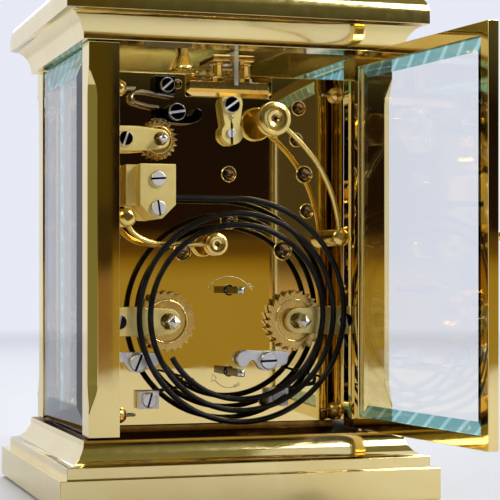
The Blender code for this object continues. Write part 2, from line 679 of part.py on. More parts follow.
def add_door():
    """The door is drawn shut, with its hinge pins on the local Z axis, and turned open by its pivot."""
    pivot = bpy.data.objects.new("door_pivot", None)
    pivot.location = (DOOR_PIN_X, DOOR_PIN_Y, 0)
    pivot.rotation_euler = (0, 0, DOOR_OPEN)
    bpy.context.scene.collection.objects.link(pivot)
    half = DOOR_THICKNESS / 2
    low, high = BASE_TOP + DOOR_END_GAP, SOFFIT - DOOR_END_GAP
    free_edge = DOOR_WIDTH - half
    plan = arc((0, 0), half, math.pi / 2, 3 * math.pi / 2, 10) + [(free_edge, -half), (free_edge, half)]
    leaf = loft([[(x, y, z) for x, y in plan] for z in (low, high)])
    pins = [
        rod(DOOR_PIN_RADIUS, (0, 0, 0), BASE_TOP - DOOR_PIN_REACH, low + OVERLAP, "Z", 12),
        rod(DOOR_PIN_RADIUS, (0, 0, 0), high - OVERLAP, SOFFIT + DOOR_PIN_REACH, "Z", 12),
    ]
    left, right = DOOR_BAR - half, free_edge - DOOR_BAR
    bottom, top = low + DOOR_BAR, high - DOOR_BAR
    opening = box((left, -DOOR_THICKNESS, bottom), (right, DOOR_THICKNESS, top))
    slot = DOOR_GLASS_THICKNESS / 2 + SEAT_GAP
    groove = box(
        (left - GROOVE_DEPTH, -slot, bottom - GROOVE_DEPTH),
        (right + GROOVE_DEPTH, slot, top + GROOVE_DEPTH),
    )
    add_part("door_frame", fuse(cut(leaf, opening, groove), *pins), "gilt_brass", parent=pivot)
    tuck = GROOVE_DEPTH - SEAT_GAP
    half_u, half_v = (right - left) / 2 + tuck, (top - bottom) / 2 + tuck
    bevel = GLASS_BEVEL + tuck
    pane = bevelled_pane(half_u, half_v, DOOR_GLASS_THICKNESS, GLASS_EDGE, bevel)
    centre = ((left + right) / 2, -DOOR_GLASS_THICKNESS / 2, (bottom + top) / 2)
    pane.transform(Matrix.Translation(centre))
    add_part("door_glass", pane, "glass", parent=pivot)
    neck, start = KNOB_RADIUS / 2, half + SEAT_GAP
    profile = [(neck, start), (neck, start + 0.35 * KNOB_LENGTH), (KNOB_RADIUS, start + 0.6 * KNOB_LENGTH)]
    profile += [(KNOB_RADIUS, start + 0.85 * KNOB_LENGTH), (neck, start + KNOB_LENGTH)]
    knob = turned(profile, (free_edge - DOOR_BAR / 2, 0, (low + high) / 2), "Y", 20)
    add_part("door_knob", knob, "gilt_brass", parent=pivot)


def add_handle():
    """A bail that lies to the rear, a little below level, on two posts."""
    pivot_z = CASE_TOP + SEAT_GAP + POST_HEIGHT
    post_x = TOP_GLASS_WIDTH / 2 + POST_MARGIN + POST_FOOT_RADIUS
    eye_x = post_x + POST_BALL_RADIUS + RUN_GAP + HANDLE_EYE_WIDTH / 2
    foot = CASE_TOP + SEAT_GAP
    for hand, side in (("left", -1), ("right", 1)):
        profile = [(POST_FOOT_RADIUS, foot), (POST_FOOT_RADIUS, foot + 0.14 * POST_HEIGHT)]
        profile += [(POST_RADIUS, foot + 0.26 * POST_HEIGHT), (POST_RADIUS, foot + 0.6 * POST_HEIGHT)]
        for i in range(5):
            angle = math.radians(-50 + 32 * i)
            profile.append((POST_BALL_RADIUS * math.cos(angle), pivot_z + POST_BALL_RADIUS * math.sin(angle)))
        post = turned(profile, (side * post_x, 0, 0), "Z", 20)
        ends = sorted((side * post_x, side * (eye_x + HANDLE_EYE_WIDTH / 2 + RUN_GAP)))
        pin = rod(HANDLE_PIN_RADIUS, (0, 0, pivot_z), ends[0], ends[1], "X", 12)
        add_part(f"handle_post_{hand}", fuse(post, pin), "gilt_brass")
    points = []
    for i in range(HANDLE_POINTS):
        angle = math.pi * i / (HANDLE_POINTS - 1)
        across = math.copysign(abs(math.cos(angle)) ** 0.45, math.cos(angle))
        away = math.sin(angle) ** 0.75
        reach = HANDLE_EYE_RADIUS * 0.6 + (HANDLE_REACH - HANDLE_EYE_RADIUS * 0.6) * away
        droop = reach * math.sin(HANDLE_DROOP)
        points.append((eye_x * across, reach * math.cos(HANDLE_DROOP), pivot_z - droop))
    bail = wire(points, HANDLE_RADIUS, 2)
    eyes = []
    bores = []
    for side in (-1, 1):
        inner, outer = eye_x - HANDLE_EYE_WIDTH / 2, eye_x + HANDLE_EYE_WIDTH / 2
        ends = sorted((side * inner, side * outer))
        eyes.append(rod(HANDLE_EYE_RADIUS, (0, 0, pivot_z), ends[0], ends[1], "X", 20))
        ends = sorted((side * (inner - OVERLAP), side * (outer + OVERLAP)))
        bores.append(rod(HANDLE_PIN_RADIUS + RUN_GAP, (0, 0, pivot_z), ends[0], ends[1], "X", 12))
    bail = cut(fuse(bail, *eyes), *bores)
    add_part("handle", bail, "gilt_brass", (0, 0, pivot_z))


def add_repeat_button():
    centre = (0, -HALF_DEPTH + BUTTON_SETBACK, 0)
    top = CASE_TOP + BUTTON_RISE
    nut_top = SOFFIT + CORNICE_WELL - BUTTON_NUT_DROP
    nut_bottom = nut_top - BUTTON_NUT_HEIGHT
    head = top - (BUTTON_RISE - BUTTON_TRAVEL - SEAT_GAP)
    shank = BUTTON_SHANK_RADIUS
    profile = [(shank / 2, nut_bottom), (BUTTON_NUT_RADIUS, nut_top - 0.35 * BUTTON_NUT_HEIGHT)]
    profile += [(0.8 * BUTTON_NUT_RADIUS, nut_top), (shank, nut_top), (shank, head)]
    profile += [(BUTTON_RADIUS, head), (BUTTON_RADIUS, top - BUTTON_RADIUS / 8), (shank, top)]
    add_part("repeat_button", turned(profile, centre, "Z", 16), "gilt_brass", (0, centre[1], top))


def lift(z):
    return BASE_TOP + z


def plate_outline():
    half, left = PLATE_WIDTH / 2, -PLATFORM_WIDTH / 2 - SEAT_GAP
    right = PLATFORM_WIDTH / 2 + PLATFORM_SIDE_ROOM
    low, high, seat = lift(PLATE_BOTTOM), lift(PLATE_TOP), lift(PLATFORM_UNDERSIDE) - SEAT_GAP
    outline = [(-half, low), (half, low), (half, high), (right, high), (right, seat)]
    return outline + [(left, seat), (left, high), (-half, high)]


def frame_pillar_places():
    heights = (lift(FRAME_PILLAR_LOW), lift(FRAME_PILLAR_HIGH))
    return [(x, z) for x in (-FRAME_PILLAR_X, FRAME_PILLAR_X) for z in heights]


def through_hole(radius, place, front, rear, segments=16):
    return rod(radius, (place[0], 0, place[1]), front - OVERLAP, rear + OVERLAP, "Y", segments)


GOING = (WINDING_X, lift(WINDING_Z))
STRIKE = (-WINDING_X, lift(WINDING_Z))
ALARM = (ALARM_X, lift(ALARM_Z))
SETTING = (0.0, lift(SET_Z))
ALARM_SETTING = (0.0, lift(ALARM_SET_Z))
DIAL_CENTRE = (0.0, lift(DIAL_Z))
STRIKE_PIVOT = (STRIKE_PIVOT_X, lift(STRIKE_PIVOT_Z))
ALARM_PIVOT = (ALARM_PIVOT_X, lift(ALARM_PIVOT_Z))


def click_pivot(winding):
    if winding == ALARM:
        return (ALARM[0] + ALARM_CLICK_OFFSET_X, ALARM[1] + ALARM_CLICK_OFFSET_Z)
    return (winding[0] + CLICK_OFFSET_X, winding[1] + CLICK_OFFSET_Z)


def add_plates():
    """Four turned pillars are riveted to the front plate and pass through the back one."""
    plate = prism(plate_outline(), FRONT_PLATE_FRONT, FRONT_PLATE_REAR)
    shoulder = BACK_PLATE_FRONT - SEAT_GAP
    end = BACK_PLATE_REAR + TENON_LENGTH
    profile = [(FRAME_PILLAR_RADIUS, FRONT_PLATE_REAR - OVERLAP), (FRAME_PILLAR_RADIUS, shoulder)]
    profile += [(TENON_RADIUS, shoulder), (TENON_RADIUS, end - TENON_RADIUS / 2), (TENON_RADIUS / 2, end)]
    places = frame_pillar_places()
    plate = fuse(plate, *[turned(profile, (x, 0, z), "Y", 16) for x, z in places])
    setting_holes = [
        through_hole(SET_ARBOR_RADIUS + RUN_GAP, place, FRONT_PLATE_FRONT, FRONT_PLATE_REAR)
        for place in (SETTING, ALARM_SETTING)
    ]
    add_part("front_plate", cut(plate, *setting_holes), "gilt_brass")
    plate = prism(plate_outline(), BACK_PLATE_FRONT, BACK_PLATE_REAR)
    stud_end = BACK_PLATE_REAR + RATCHET_STANDOFF + CLICK_THICKNESS
    studs = []
    for winding in (GOING, STRIKE, ALARM):
        x, z = click_pivot(winding)
        studs.append(rod(CLICK_STUD_RADIUS, (x, 0, z), BACK_PLATE_FRONT + OVERLAP, stud_end, "Y", 12))
    holes = [(TENON_RADIUS + SEAT_GAP, place) for place in places]
    holes += [(ARBOR_RADIUS + RUN_GAP, place) for place in (GOING, STRIKE)]
    holes += [(ALARM_ARBOR_RADIUS + RUN_GAP, ALARM)]
    holes += [(SET_ARBOR_RADIUS + RUN_GAP, place) for place in (SETTING, ALARM_SETTING)]
    holes += [(HAMMER_ARBOR_RADIUS + RUN_GAP, place) for place in (STRIKE_PIVOT, ALARM_PIVOT)]
    tools = [through_hole(radius, place, BACK_PLATE_FRONT, BACK_PLATE_REAR, 14) for radius, place in holes]
    add_part("back_plate", cut(fuse(plate, *studs), *tools), "gilt_brass")


def square_outline(place, square, turn):
    corner = square * math.sqrt(0.5)
    return [polar(place, corner, turn + math.pi / 4 + math.pi / 2 * i) for i in range(4)]


def squared_arbor(place, radius, square, start, shoulder, tip, turn=0.0):
    """A round arbor with a square for a key on its rear end."""
    shaft = rod(radius, (place[0], 0, place[1]), start, shoulder, "Y", 14)
    rings = []
    for size, y in ((square, shoulder - OVERLAP / 2), (square, tip - square / 4), (square / 3, tip)):
        rings.append([(x, y, z) for x, z in square_outline(place, size, turn)])
    return fuse(shaft, loft(rings))


def square_hole(place, square, front, rear, turn):
    return prism(square_outline(place, square + SEAT_GAP, turn), front - OVERLAP, rear + OVERLAP)


def add_winding(name, place, radius, teeth, arbor_radius, square, reach, cock_width, eye_radius):
    """The arbor, ratchet and cock of one winding square; the cock stands on the nearer edge of the plate."""
    x, z = place
    pivot = (x, BACK_PLATE_REAR, z)
    front = BACK_PLATE_REAR + RATCHET_STANDOFF
    rear = front + RATCHET_THICKNESS
    turn = math.pi / 4
    tip = BACK_PLATE_REAR + reach
    arbor = squared_arbor(place, arbor_radius, square, ARBOR_FRONT, front - SEAT_GAP, tip, turn)
    add_part(f"{name}_arbor", arbor, "bright_steel", pivot)
    wheel = prism(ratchet_outline(place, radius, teeth), front, rear)
    dish = rod(0.68 * radius, (x, 0, z), rear - RATCHET_DISH, rear + OVERLAP, "Y", 32)
    wheel = cut(wheel, dish, square_hole(place, square, front, rear, turn))
    add_part(f"{name}_ratchet", wheel, "gilt_brass", pivot)
    cock_front = rear + SEAT_GAP
    cock_rear = cock_front + COCK_THICKNESS
    side = math.copysign(1, x)
    edge = side * PLATE_WIDTH / 2
    shoulder = x + side * (radius + COCK_FOOT_ROOM)
    half = cock_width / 2
    start = math.pi / 2
    nose = arc(place, eye_radius, start, start + side * math.pi, 14)
    outline = [(edge, z - half), (edge, z + half), (shoulder, z + half)] + nose + [(shoulder, z - half)]
    cock = prism(outline, cock_front, cock_rear)
    ends = sorted((edge, shoulder))
    foot = box((ends[0], BACK_PLATE_REAR + SEAT_GAP, z - half), (ends[1], cock_rear - OVERLAP / 2, z + half))
    bore = through_hole(square * math.sqrt(0.5) + RUN_GAP, place, cock_front, cock_rear, 20)
    add_part(f"{name}_cock", cut(fuse(cock, foot), bore), "frosted_brass")


def add_windings():
    for name, place in (("going", GOING), ("strike", STRIKE)):
        add_winding(
            name, place, RATCHET_RADIUS, RATCHET_TEETH, ARBOR_RADIUS,
            ARBOR_SQUARE, ARBOR_REACH, COCK_WIDTH, COCK_EYE_RADIUS,
        )
    add_winding(
        "alarm", ALARM, ALARM_RATCHET_RADIUS, ALARM_RATCHET_TEETH, ALARM_ARBOR_RADIUS,
        ALARM_ARBOR_SQUARE, ALARM_ARBOR_REACH, ALARM_COCK_WIDTH, ALARM_COCK_EYE_RADIUS,
    )


def finish_click(name, place, pieces, look):
    front = BACK_PLATE_REAR + RATCHET_STANDOFF
    rear = front + CLICK_THICKNESS
    solids = [prism(outline, front, rear) for outline in pieces]
    bore = through_hole(CLICK_STUD_RADIUS + RUN_GAP, place, front, rear, 12)
    click = cut(fuse(solids[0], *solids[1:]), bore)
    add_part(f"{name}_click", click, look, (place[0], front, place[1]))


def hook_spine(start, heading, length, bend, steps=7):
    """Points that run from a start and curl steadily by the angle bend over the length."""
    points, angle = [start], heading
    for _ in range(steps):
        x, z = points[-1]
        points.append((x + math.cos(angle) * length / steps, z + math.sin(angle) * length / steps))
        angle += bend / steps
    return points


def click_tail(pivot, heading, length, curl):
    """Outlines of a tail that leaves the boss, narrows as it curls and ends round."""
    spine = hook_spine(pivot, heading, length, curl)
    root = CLICK_BOSS_RADIUS * 1.3
    widths = [root + (CLICK_TAIL_WIDTH - root) * i / (len(spine) - 1) for i in range(len(spine))]
    end = arc(spine[-1], CLICK_TAIL_WIDTH / 2, 0, 2 * math.pi, 14)[:-1]
    return [band_outline(spine, widths), end]


def alarm_nose_top(pivot):
    return pivot[1] + CLICK_BOSS_RADIUS * 0.45


def add_clicks():
    """Each click has a boss, a nose that stands just clear of its ratchet's tips and a curled finger tail."""
    for name, place in (("going", GOING), ("strike", STRIKE)):
        pivot = click_pivot(place)
        reach = RATCHET_RADIUS + RUN_GAP
        tip = (place[0] + 0.05 * reach, place[1] - reach)
        under = (tip[0] - 0.1 * CLICK_NOSE_WIDTH, tip[1] - CLICK_NOSE_WIDTH)
        boss = arc(pivot, CLICK_BOSS_RADIUS, 0, 2 * math.pi, 20)[:-1]
        shank = CLICK_BOSS_RADIUS * 0.9
        nose = [(pivot[0], pivot[1] - shank), (pivot[0], pivot[1] + shank * 0.8), tip, under]
        tail = click_tail(pivot, math.radians(35), CLICK_TAIL, CLICK_TAIL_CURL)
        finish_click(name, pivot, [boss, nose, *tail], "bright_steel")
    pivot = click_pivot(ALARM)
    reach = ALARM_RATCHET_RADIUS + RUN_GAP
    boss = arc(pivot, CLICK_BOSS_RADIUS * 0.95, 0, 2 * math.pi, 20)[:-1]
    floor = ALARM[1] + reach
    nose_x = ALARM[0] + 0.1 * reach
    top = alarm_nose_top(pivot)
    nose = [(pivot[0], top), (pivot[0], floor + 0.2 * CLICK_BOSS_RADIUS), (nose_x, floor), (nose_x, top)]
    tail = click_tail(pivot, math.radians(216), ALARM_CLICK_TAIL, ALARM_CLICK_TAIL_CURL)
    finish_click("alarm", pivot, [boss, nose, *tail], "blued_steel")


def spring_block(x, z):
    low = (x - SPRING_BLOCK_WIDTH / 2, BACK_PLATE_REAR + SEAT_GAP, z - SPRING_BLOCK_HEIGHT / 2)
    depth = SPRING_BLOCK_DEPTH
    return box(low, (low[0] + SPRING_BLOCK_WIDTH, low[1] + depth, low[2] + SPRING_BLOCK_HEIGHT))


def add_click_springs():
    """A wire leaves each block, loops and comes back under the click; the alarm's is a hairpin."""
    for name, place in (("going", GOING), ("strike", STRIKE)):
        x, z = place[0] + SPRING_BLOCK_OFFSET_X, place[1] + SPRING_BLOCK_OFFSET_Z
        y = BACK_PLATE_REAR + SEAT_GAP + SPRING_BLOCK_DEPTH / 2
        loop_x, loop_z = place[0] + SPRING_LOOP_OFFSET_X, place[1] + SPRING_LOOP_OFFSET_Z
        points = [(x, y, z + SPRING_BLOCK_HEIGHT / 2 - 2 * SPRING_WIRE_RADIUS)]
        turns, per_turn = 1.5, 12
        for i in range(int(turns * per_turn) + 1):
            angle = -math.pi / 2 - 2 * math.pi * i / per_turn
            points.append((
                loop_x + SPRING_LOOP_RADIUS * math.cos(angle),
                y + SPRING_LOOP_PITCH * i / per_turn,
                loop_z + SPRING_LOOP_RADIUS * math.sin(angle),
            ))
        pivot = click_pivot(place)
        end_x = place[0] + 0.25 * CLICK_OFFSET_X
        end_y = BACK_PLATE_REAR + RATCHET_STANDOFF + CLICK_THICKNESS / 2
        end_z = place[1] - RATCHET_RADIUS - RUN_GAP - CLICK_NOSE_WIDTH - RUN_GAP - 2 * SPRING_WIRE_RADIUS
        end_z -= 0.12 * (pivot[0] - end_x)
        points.append((end_x, end_y, end_z))
        spring = fuse(spring_block(x, z), wire(points, SPRING_WIRE_RADIUS))
        add_part(f"{name}_click_spring", spring, "bright_steel")
    x, z = ALARM[0] + ALARM_SPRING_OFFSET_X, ALARM[1] + ALARM_SPRING_OFFSET_Z
    y = BACK_PLATE_REAR + RATCHET_STANDOFF + CLICK_THICKNESS / 2
    pivot = click_pivot(ALARM)
    low = alarm_nose_top(pivot) + RUN_GAP + 2 * SPRING_WIRE_RADIUS
    high = z - SPRING_BLOCK_HEIGHT / 2 + 2 * SPRING_WIRE_RADIUS
    radius = (high - low) / 2
    bend_x = FRAME_PILLAR_X - TENON_RADIUS - ALARM_SPRING_ROOM - radius
    bend = (bend_x, (high + low) / 2 + ALARM_SPRING_TILT)
    path = [(x, high)] + arc(bend, radius, math.pi / 2, -math.pi / 2, 8)
    path += [(ALARM[0] - 0.04 * ALARM_RATCHET_RADIUS, low)]
    spring = fuse(spring_block(x, z), wire([(px, y, pz) for px, pz in path], SPRING_WIRE_RADIUS))
    add_part("alarm_click_spring", spring, "blued_steel")


def gong_points():
    """A straight run out of the block, then a spiral that tightens by GONG_PITCH a turn."""
    y = BACK_PLATE_REAR + GONG_STANDOFF
    centre_z = lift(GONG_Z)
    run_z = centre_z + GONG_RADIUS + GONG_RUN_RISE
    start = BLOCK_LEFT + GONG_ENTRY
    count = 5
    points = [(start + (GONG_X - start) * i / count, y, run_z) for i in range(count)]
    steps = round(GONG_TURNS * GONG_POINTS_PER_LOOP)
    for i in range(steps + 1):
        turn = GONG_TURNS * i / steps
        if turn < 0.25:
            radius = GONG_RADIUS + GONG_RUN_RISE * (1 - turn / 0.25)
        else:
            radius = GONG_RADIUS - GONG_PITCH * (turn - 0.25)
        angle = math.pi / 2 + 2 * math.pi * turn
        points.append((GONG_X + radius * math.cos(angle), y, centre_z + radius * math.sin(angle)))
    return points


def least_gap(points, radius):
    """The smallest gap of a tube to itself, leaving out stretches that are neighbours along it."""
    apart = GONG_POINTS_PER_LOOP // 2
    gaps = [
        math.dist(points[i], points[j]) - 2 * radius
        for i in range(len(points))
        for j in range(i + apart, len(points))
    ]
    return min(gaps)


def add_gong():
    points = gong_points()
    print(f"gong: least gap to itself {least_gap(points, GONG_WIRE_RADIUS) / MM:.2f} mm")
    curve = wire_curve("gong", points, GONG_WIRE_RADIUS, 1)
    curve.materials.append(look_material("gong", "black_steel"))
    gong = bpy.data.objects.new("gong", curve)
    bpy.context.scene.collection.objects.link(gong)
    low, high = lift(BLOCK_BOTTOM), lift(BLOCK_TOP)
    outline = [(BLOCK_LEFT, high), (BLOCK_LEFT, low + BLOCK_CORNER), (BLOCK_LEFT + BLOCK_CORNER, low)]
    outline += [(BLOCK_RIGHT - BLOCK_CORNER, low), (BLOCK_RIGHT, low + BLOCK_CORNER), (BLOCK_RIGHT, high)]
    front = BACK_PLATE_REAR + SEAT_GAP
    block = prism(outline, front, BACK_PLATE_REAR + BLOCK_DEPTH)
    foot_top, foot_bottom = high, low + BLOCK_CORNER
    foot = box(
        (BLOCK_RIGHT - OVERLAP, front, foot_bottom),
        (BLOCK_RIGHT + BLOCK_FOOT_REACH, front + BLOCK_FOOT_DEPTH, foot_top),
    )
    _, wire_y, wire_z = points[0]
    bore_end = points[0][0] + SEAT_GAP
    bore = rod(GONG_WIRE_RADIUS + SEAT_GAP, (0, wire_y, wire_z), BLOCK_LEFT - OVERLAP, bore_end, "X", 12)
    add_part("gong_block", cut(fuse(block, foot), bore), "frosted_brass")


def hammer_head(x, z, radius, standoff):
    front = BACK_PLATE_REAR + standoff
    rear = front + HAMMER_HEAD_LENGTH
    rim = radius / 8
    profile = [(radius - rim, front), (radius, front + rim), (radius, rear - rim), (radius - rim, rear)]
    sunk = rear - HAMMER_GROOVE
    for share, y in ((0.7, rear), (0.65, sunk), (0.53, sunk), (0.48, rear), (0.24, rear), (0.2, sunk)):
        profile.append((share * radius, y))
    return turned(profile, (x, 0, z), "Y", 24)


def finish_hammer(name, pivot, head, arm_points, arm_y):
    hub_rear = arm_y + 2 * HAMMER_ARM_RADIUS
    centre = (pivot[0], 0, pivot[1])
    hub = rod(HAMMER_HUB_RADIUS, centre, BACK_PLATE_REAR + RUN_GAP, hub_rear, "Y", 18)
    arbor = rod(HAMMER_ARBOR_RADIUS, centre, ARBOR_FRONT, hub_rear - OVERLAP / 2, "Y", 10)
    arm = wire([(x, arm_y, z) for x, z in arm_points], HAMMER_ARM_RADIUS)
    hammer = fuse(hub, arbor, arm, head)
    add_part(name, hammer, "gilt_brass", (pivot[0], BACK_PLATE_REAR, pivot[1]))


def bowed(start, end, bow, steps):
    """Points from start to end along a shallow curve that bulges by bow to the left of the way."""
    heading = facing(start, end) + math.pi / 2
    points = []
    for i in range(steps + 1):
        share = i / steps
        swell = 4 * bow * share * (1 - share)
        x = start[0] + (end[0] - start[0]) * share + swell * math.cos(heading)
        z = start[1] + (end[1] - start[1]) * share + swell * math.sin(heading)
        points.append((x, z))
    return points


def add_hammers():
    head_place = (STRIKE_HEAD_X, lift(STRIKE_HEAD_Z))
    head = hammer_head(*head_place, STRIKE_HEAD_RADIUS, STRIKE_HEAD_STANDOFF)
    arm_y = BACK_PLATE_REAR + STRIKE_HEAD_STANDOFF + HAMMER_HEAD_LENGTH / 2
    arm = bowed(STRIKE_PIVOT, head_place, STRIKE_ARM_BOW, 10)
    finish_hammer("strike_hammer", STRIKE_PIVOT, head, arm, arm_y)
    head_place = (ALARM_HEAD_X, lift(ALARM_HEAD_Z))
    head = hammer_head(*head_place, ALARM_HEAD_RADIUS, ALARM_HEAD_STANDOFF)
    arm_y = BACK_PLATE_REAR + ALARM_ARM_STANDOFF
    elbow_z = head_place[1]
    elbow_x = ALARM_PIVOT[0] - 2 * ALARM_ARM_DROP
    drop = ALARM_PIVOT[1] - elbow_z
    curve = []
    for i in range(7):
        angle = math.pi / 2 * i / 6
        across = 2 * ALARM_ARM_DROP * math.cos(angle)
        curve.append((elbow_x + across, ALARM_PIVOT[1] - drop * math.sin(angle)))
    finish_hammer("alarm_hammer", ALARM_PIVOT, head, curve + [head_place], arm_y)


def motion_layers():
    """Front and rear planes of the two wheel layers between the front plate and the dial."""
    rear = FRONT_PLATE_FRONT - 2 * SEAT_GAP
    first = (rear - MOTION_WHEEL_THICKNESS, rear)
    rear = first[0] - MOTION_LAYER_GAP
    return first, (rear - MOTION_WHEEL_THICKNESS, rear)


def dial_planes():
    rear = FRONT_PLATE_FRONT - DIAL_STANDOFF
    return rear - DIAL_THICKNESS, rear


def add_setting_work():
    """The setting arbor carries the minute wheel and the hour pinion; the alarm arbor runs on to its hand."""
    minute_layer, hour_layer = motion_layers()
    shoulder = BACK_PLATE_REAR + SEAT_GAP
    tip = BACK_PLATE_REAR + SET_REACH
    arbor = squared_arbor(SETTING, SET_ARBOR_RADIUS, SET_SQUARE, hour_layer[0], shoulder, tip)
    outline = wheel_outline(SETTING, DIAL_CENTRE, MINUTE_WHEEL_TEETH, CANNON_TEETH)
    wheel = prism(outline, *minute_layer)
    outline = pinion_outline(DIAL_CENTRE, SETTING, HOUR_WHEEL_TEETH, HOUR_PINION_TEETH)
    pinion = prism(outline, hour_layer[0] - SEAT_GAP, minute_layer[0] + SEAT_GAP)
    pivot = (SETTING[0], BACK_PLATE_REAR, SETTING[1])
    add_part("set_arbor", fuse(arbor, wheel, pinion), "bright_steel", pivot)
    start = dial_planes()[0] - HAND_SPACING - HAND_THICKNESS - 2 * SEAT_GAP
    arbor = squared_arbor(ALARM_SETTING, SET_ARBOR_RADIUS, SET_SQUARE, start, shoulder, tip)
    pivot = (ALARM_SETTING[0], BACK_PLATE_REAR, ALARM_SETTING[1])
    add_part("alarm_set_arbor", arbor, "bright_steel", pivot)


def hand_outline(centre, length, angle):
    """A tapering pointer with a leaf near its tip; the angle is from +X towards +Z as the dial shows it."""
    shape = [(0.0, 0.45), (0.55, 0.3), (0.62, 0.5), (0.72, 0.95), (0.82, 0.5), (1.0, 0.1)]
    side = [(along * length, width * HAND_WIDTH) for along, width in shape]
    outline = side + [(along, -width) for along, width in reversed(side)]
    cosine, sine = math.cos(angle), math.sin(angle)
    return [(centre[0] + a * cosine - w * sine, centre[1] + a * sine + w * cosine) for a, w in outline]


def add_dial_and_hands():
    front, rear = dial_planes()
    half = PLATE_WIDTH / 2 + DIAL_MARGIN
    dial = box((-half, front, lift(DIAL_BOTTOM)), (half, rear, lift(DIAL_TOP)))
    feet = [
        rod(DIAL_FOOT_RADIUS, (x, 0, z), rear - DIAL_THICKNESS / 2, FRONT_PLATE_FRONT - SEAT_GAP, "Y", 10)
        for x, z in frame_pillar_places()
    ]
    pipe_hole = through_hole(HOUR_PIPE_RADIUS + RUN_GAP, DIAL_CENTRE, front, rear, 20)
    alarm_hole = through_hole(SET_ARBOR_RADIUS + RUN_GAP, ALARM_SETTING, front, rear, 14)
    add_part("dial", cut(fuse(dial, *feet), pipe_hole, alarm_hole), "enamel")
    minute_layer, hour_layer = motion_layers()
    x, z = DIAL_CENTRE
    pivot = (x, front, z)
    hour_rear = front - HAND_SPACING
    hour_front = hour_rear - HAND_THICKNESS
    minute_rear = hour_front - HAND_SPACING
    minute_front = minute_rear - HAND_THICKNESS
    pipe = rod(HOUR_PIPE_RADIUS, (x, 0, z), hour_front, hour_layer[1] - SEAT_GAP, "Y", 16)
    outline = wheel_outline(DIAL_CENTRE, SETTING, HOUR_WHEEL_TEETH, HOUR_PINION_TEETH)
    wheel = prism(outline, *hour_layer)
    boss = rod(HAND_BOSS_RADIUS * 1.4, (x, 0, z), hour_front, hour_rear, "Y", 16)
    pointer = prism(hand_outline(DIAL_CENTRE, HOUR_LENGTH, HOUR_ANGLE), hour_front, hour_rear)
    bore = through_hole(HAND_ARBOR_RADIUS + RUN_GAP, DIAL_CENTRE, hour_front, hour_layer[1], 12)
    add_part("hour_hand", cut(fuse(pipe, wheel, boss, pointer), bore), "blued_steel", pivot)
    arbor = rod(HAND_ARBOR_RADIUS, (x, 0, z), minute_front, minute_layer[1], "Y", 12)
    outline = pinion_outline(SETTING, DIAL_CENTRE, MINUTE_WHEEL_TEETH, CANNON_TEETH)
    cannon = prism(outline, minute_layer[0], minute_layer[1] + SEAT_GAP)
    boss = rod(HAND_BOSS_RADIUS, (x, 0, z), minute_front, minute_rear, "Y", 16)
    pointer = prism(hand_outline(DIAL_CENTRE, MINUTE_LENGTH, MINUTE_ANGLE), minute_front, minute_rear)
    add_part("minute_hand", fuse(arbor, cannon, boss, pointer), "blued_steel", pivot)
    pointer = prism(hand_outline(ALARM_SETTING, ALARM_HAND_LENGTH, ALARM_HAND_ANGLE), hour_front, hour_rear)
    boss = rod(HAND_BOSS_RADIUS, (ALARM_SETTING[0], 0, ALARM_SETTING[1]), hour_front, hour_rear, "Y", 16)
    bore = through_hole(SET_ARBOR_RADIUS + SEAT_GAP, ALARM_SETTING, hour_front, hour_rear, 14)
    pivot = (ALARM_SETTING[0], front, ALARM_SETTING[1])
    add_part("alarm_hand", cut(fuse(boss, pointer), bore), "blued_steel", pivot)


def train_plane(share):
    """A plane between the plates, from 0 at the front plate to 1 at the back plate."""
    return FRONT_PLATE_REAR + PLATE_SPACING * share


def train_arbor(place, *pieces):
    arbor = rod(TRAIN_ARBOR_RADIUS, (place[0], 0, place[1]), ARBOR_FRONT, ARBOR_REAR, "Y", 10)
    return fuse(arbor, *pieces)


def wheel_at(outline, plane):
    return prism(outline, plane - WHEEL_THICKNESS / 2, plane + WHEEL_THICKNESS / 2)


def pinion_at(outline, plane):
    half = WHEEL_THICKNESS / 2 + PINION_MARGIN
    return prism(outline, plane - half, plane + half)


def great_wheel_plane(room):
    return FRONT_PLATE_REAR + room - WHEEL_THICKNESS / 2


def add_barrel(name, place, room, outline):
    """A drum that turns on its winding arbor, with the great wheel at its front end."""
    x, z = place
    front = FRONT_PLATE_REAR + room
    drum = rod(BARREL_RADIUS, (x, 0, z), front, front + BARREL_LENGTH, "Y", 36)
    wheel = prism(outline, front - WHEEL_THICKNESS, front + SEAT_GAP)
    bore = through_hole(ARBOR_RADIUS + RUN_GAP, place, front - WHEEL_THICKNESS, front + BARREL_LENGTH, 14)
    add_part(f"{name}_barrel", cut(fuse(drum, wheel), bore), "gilt_brass", (x, front, z))


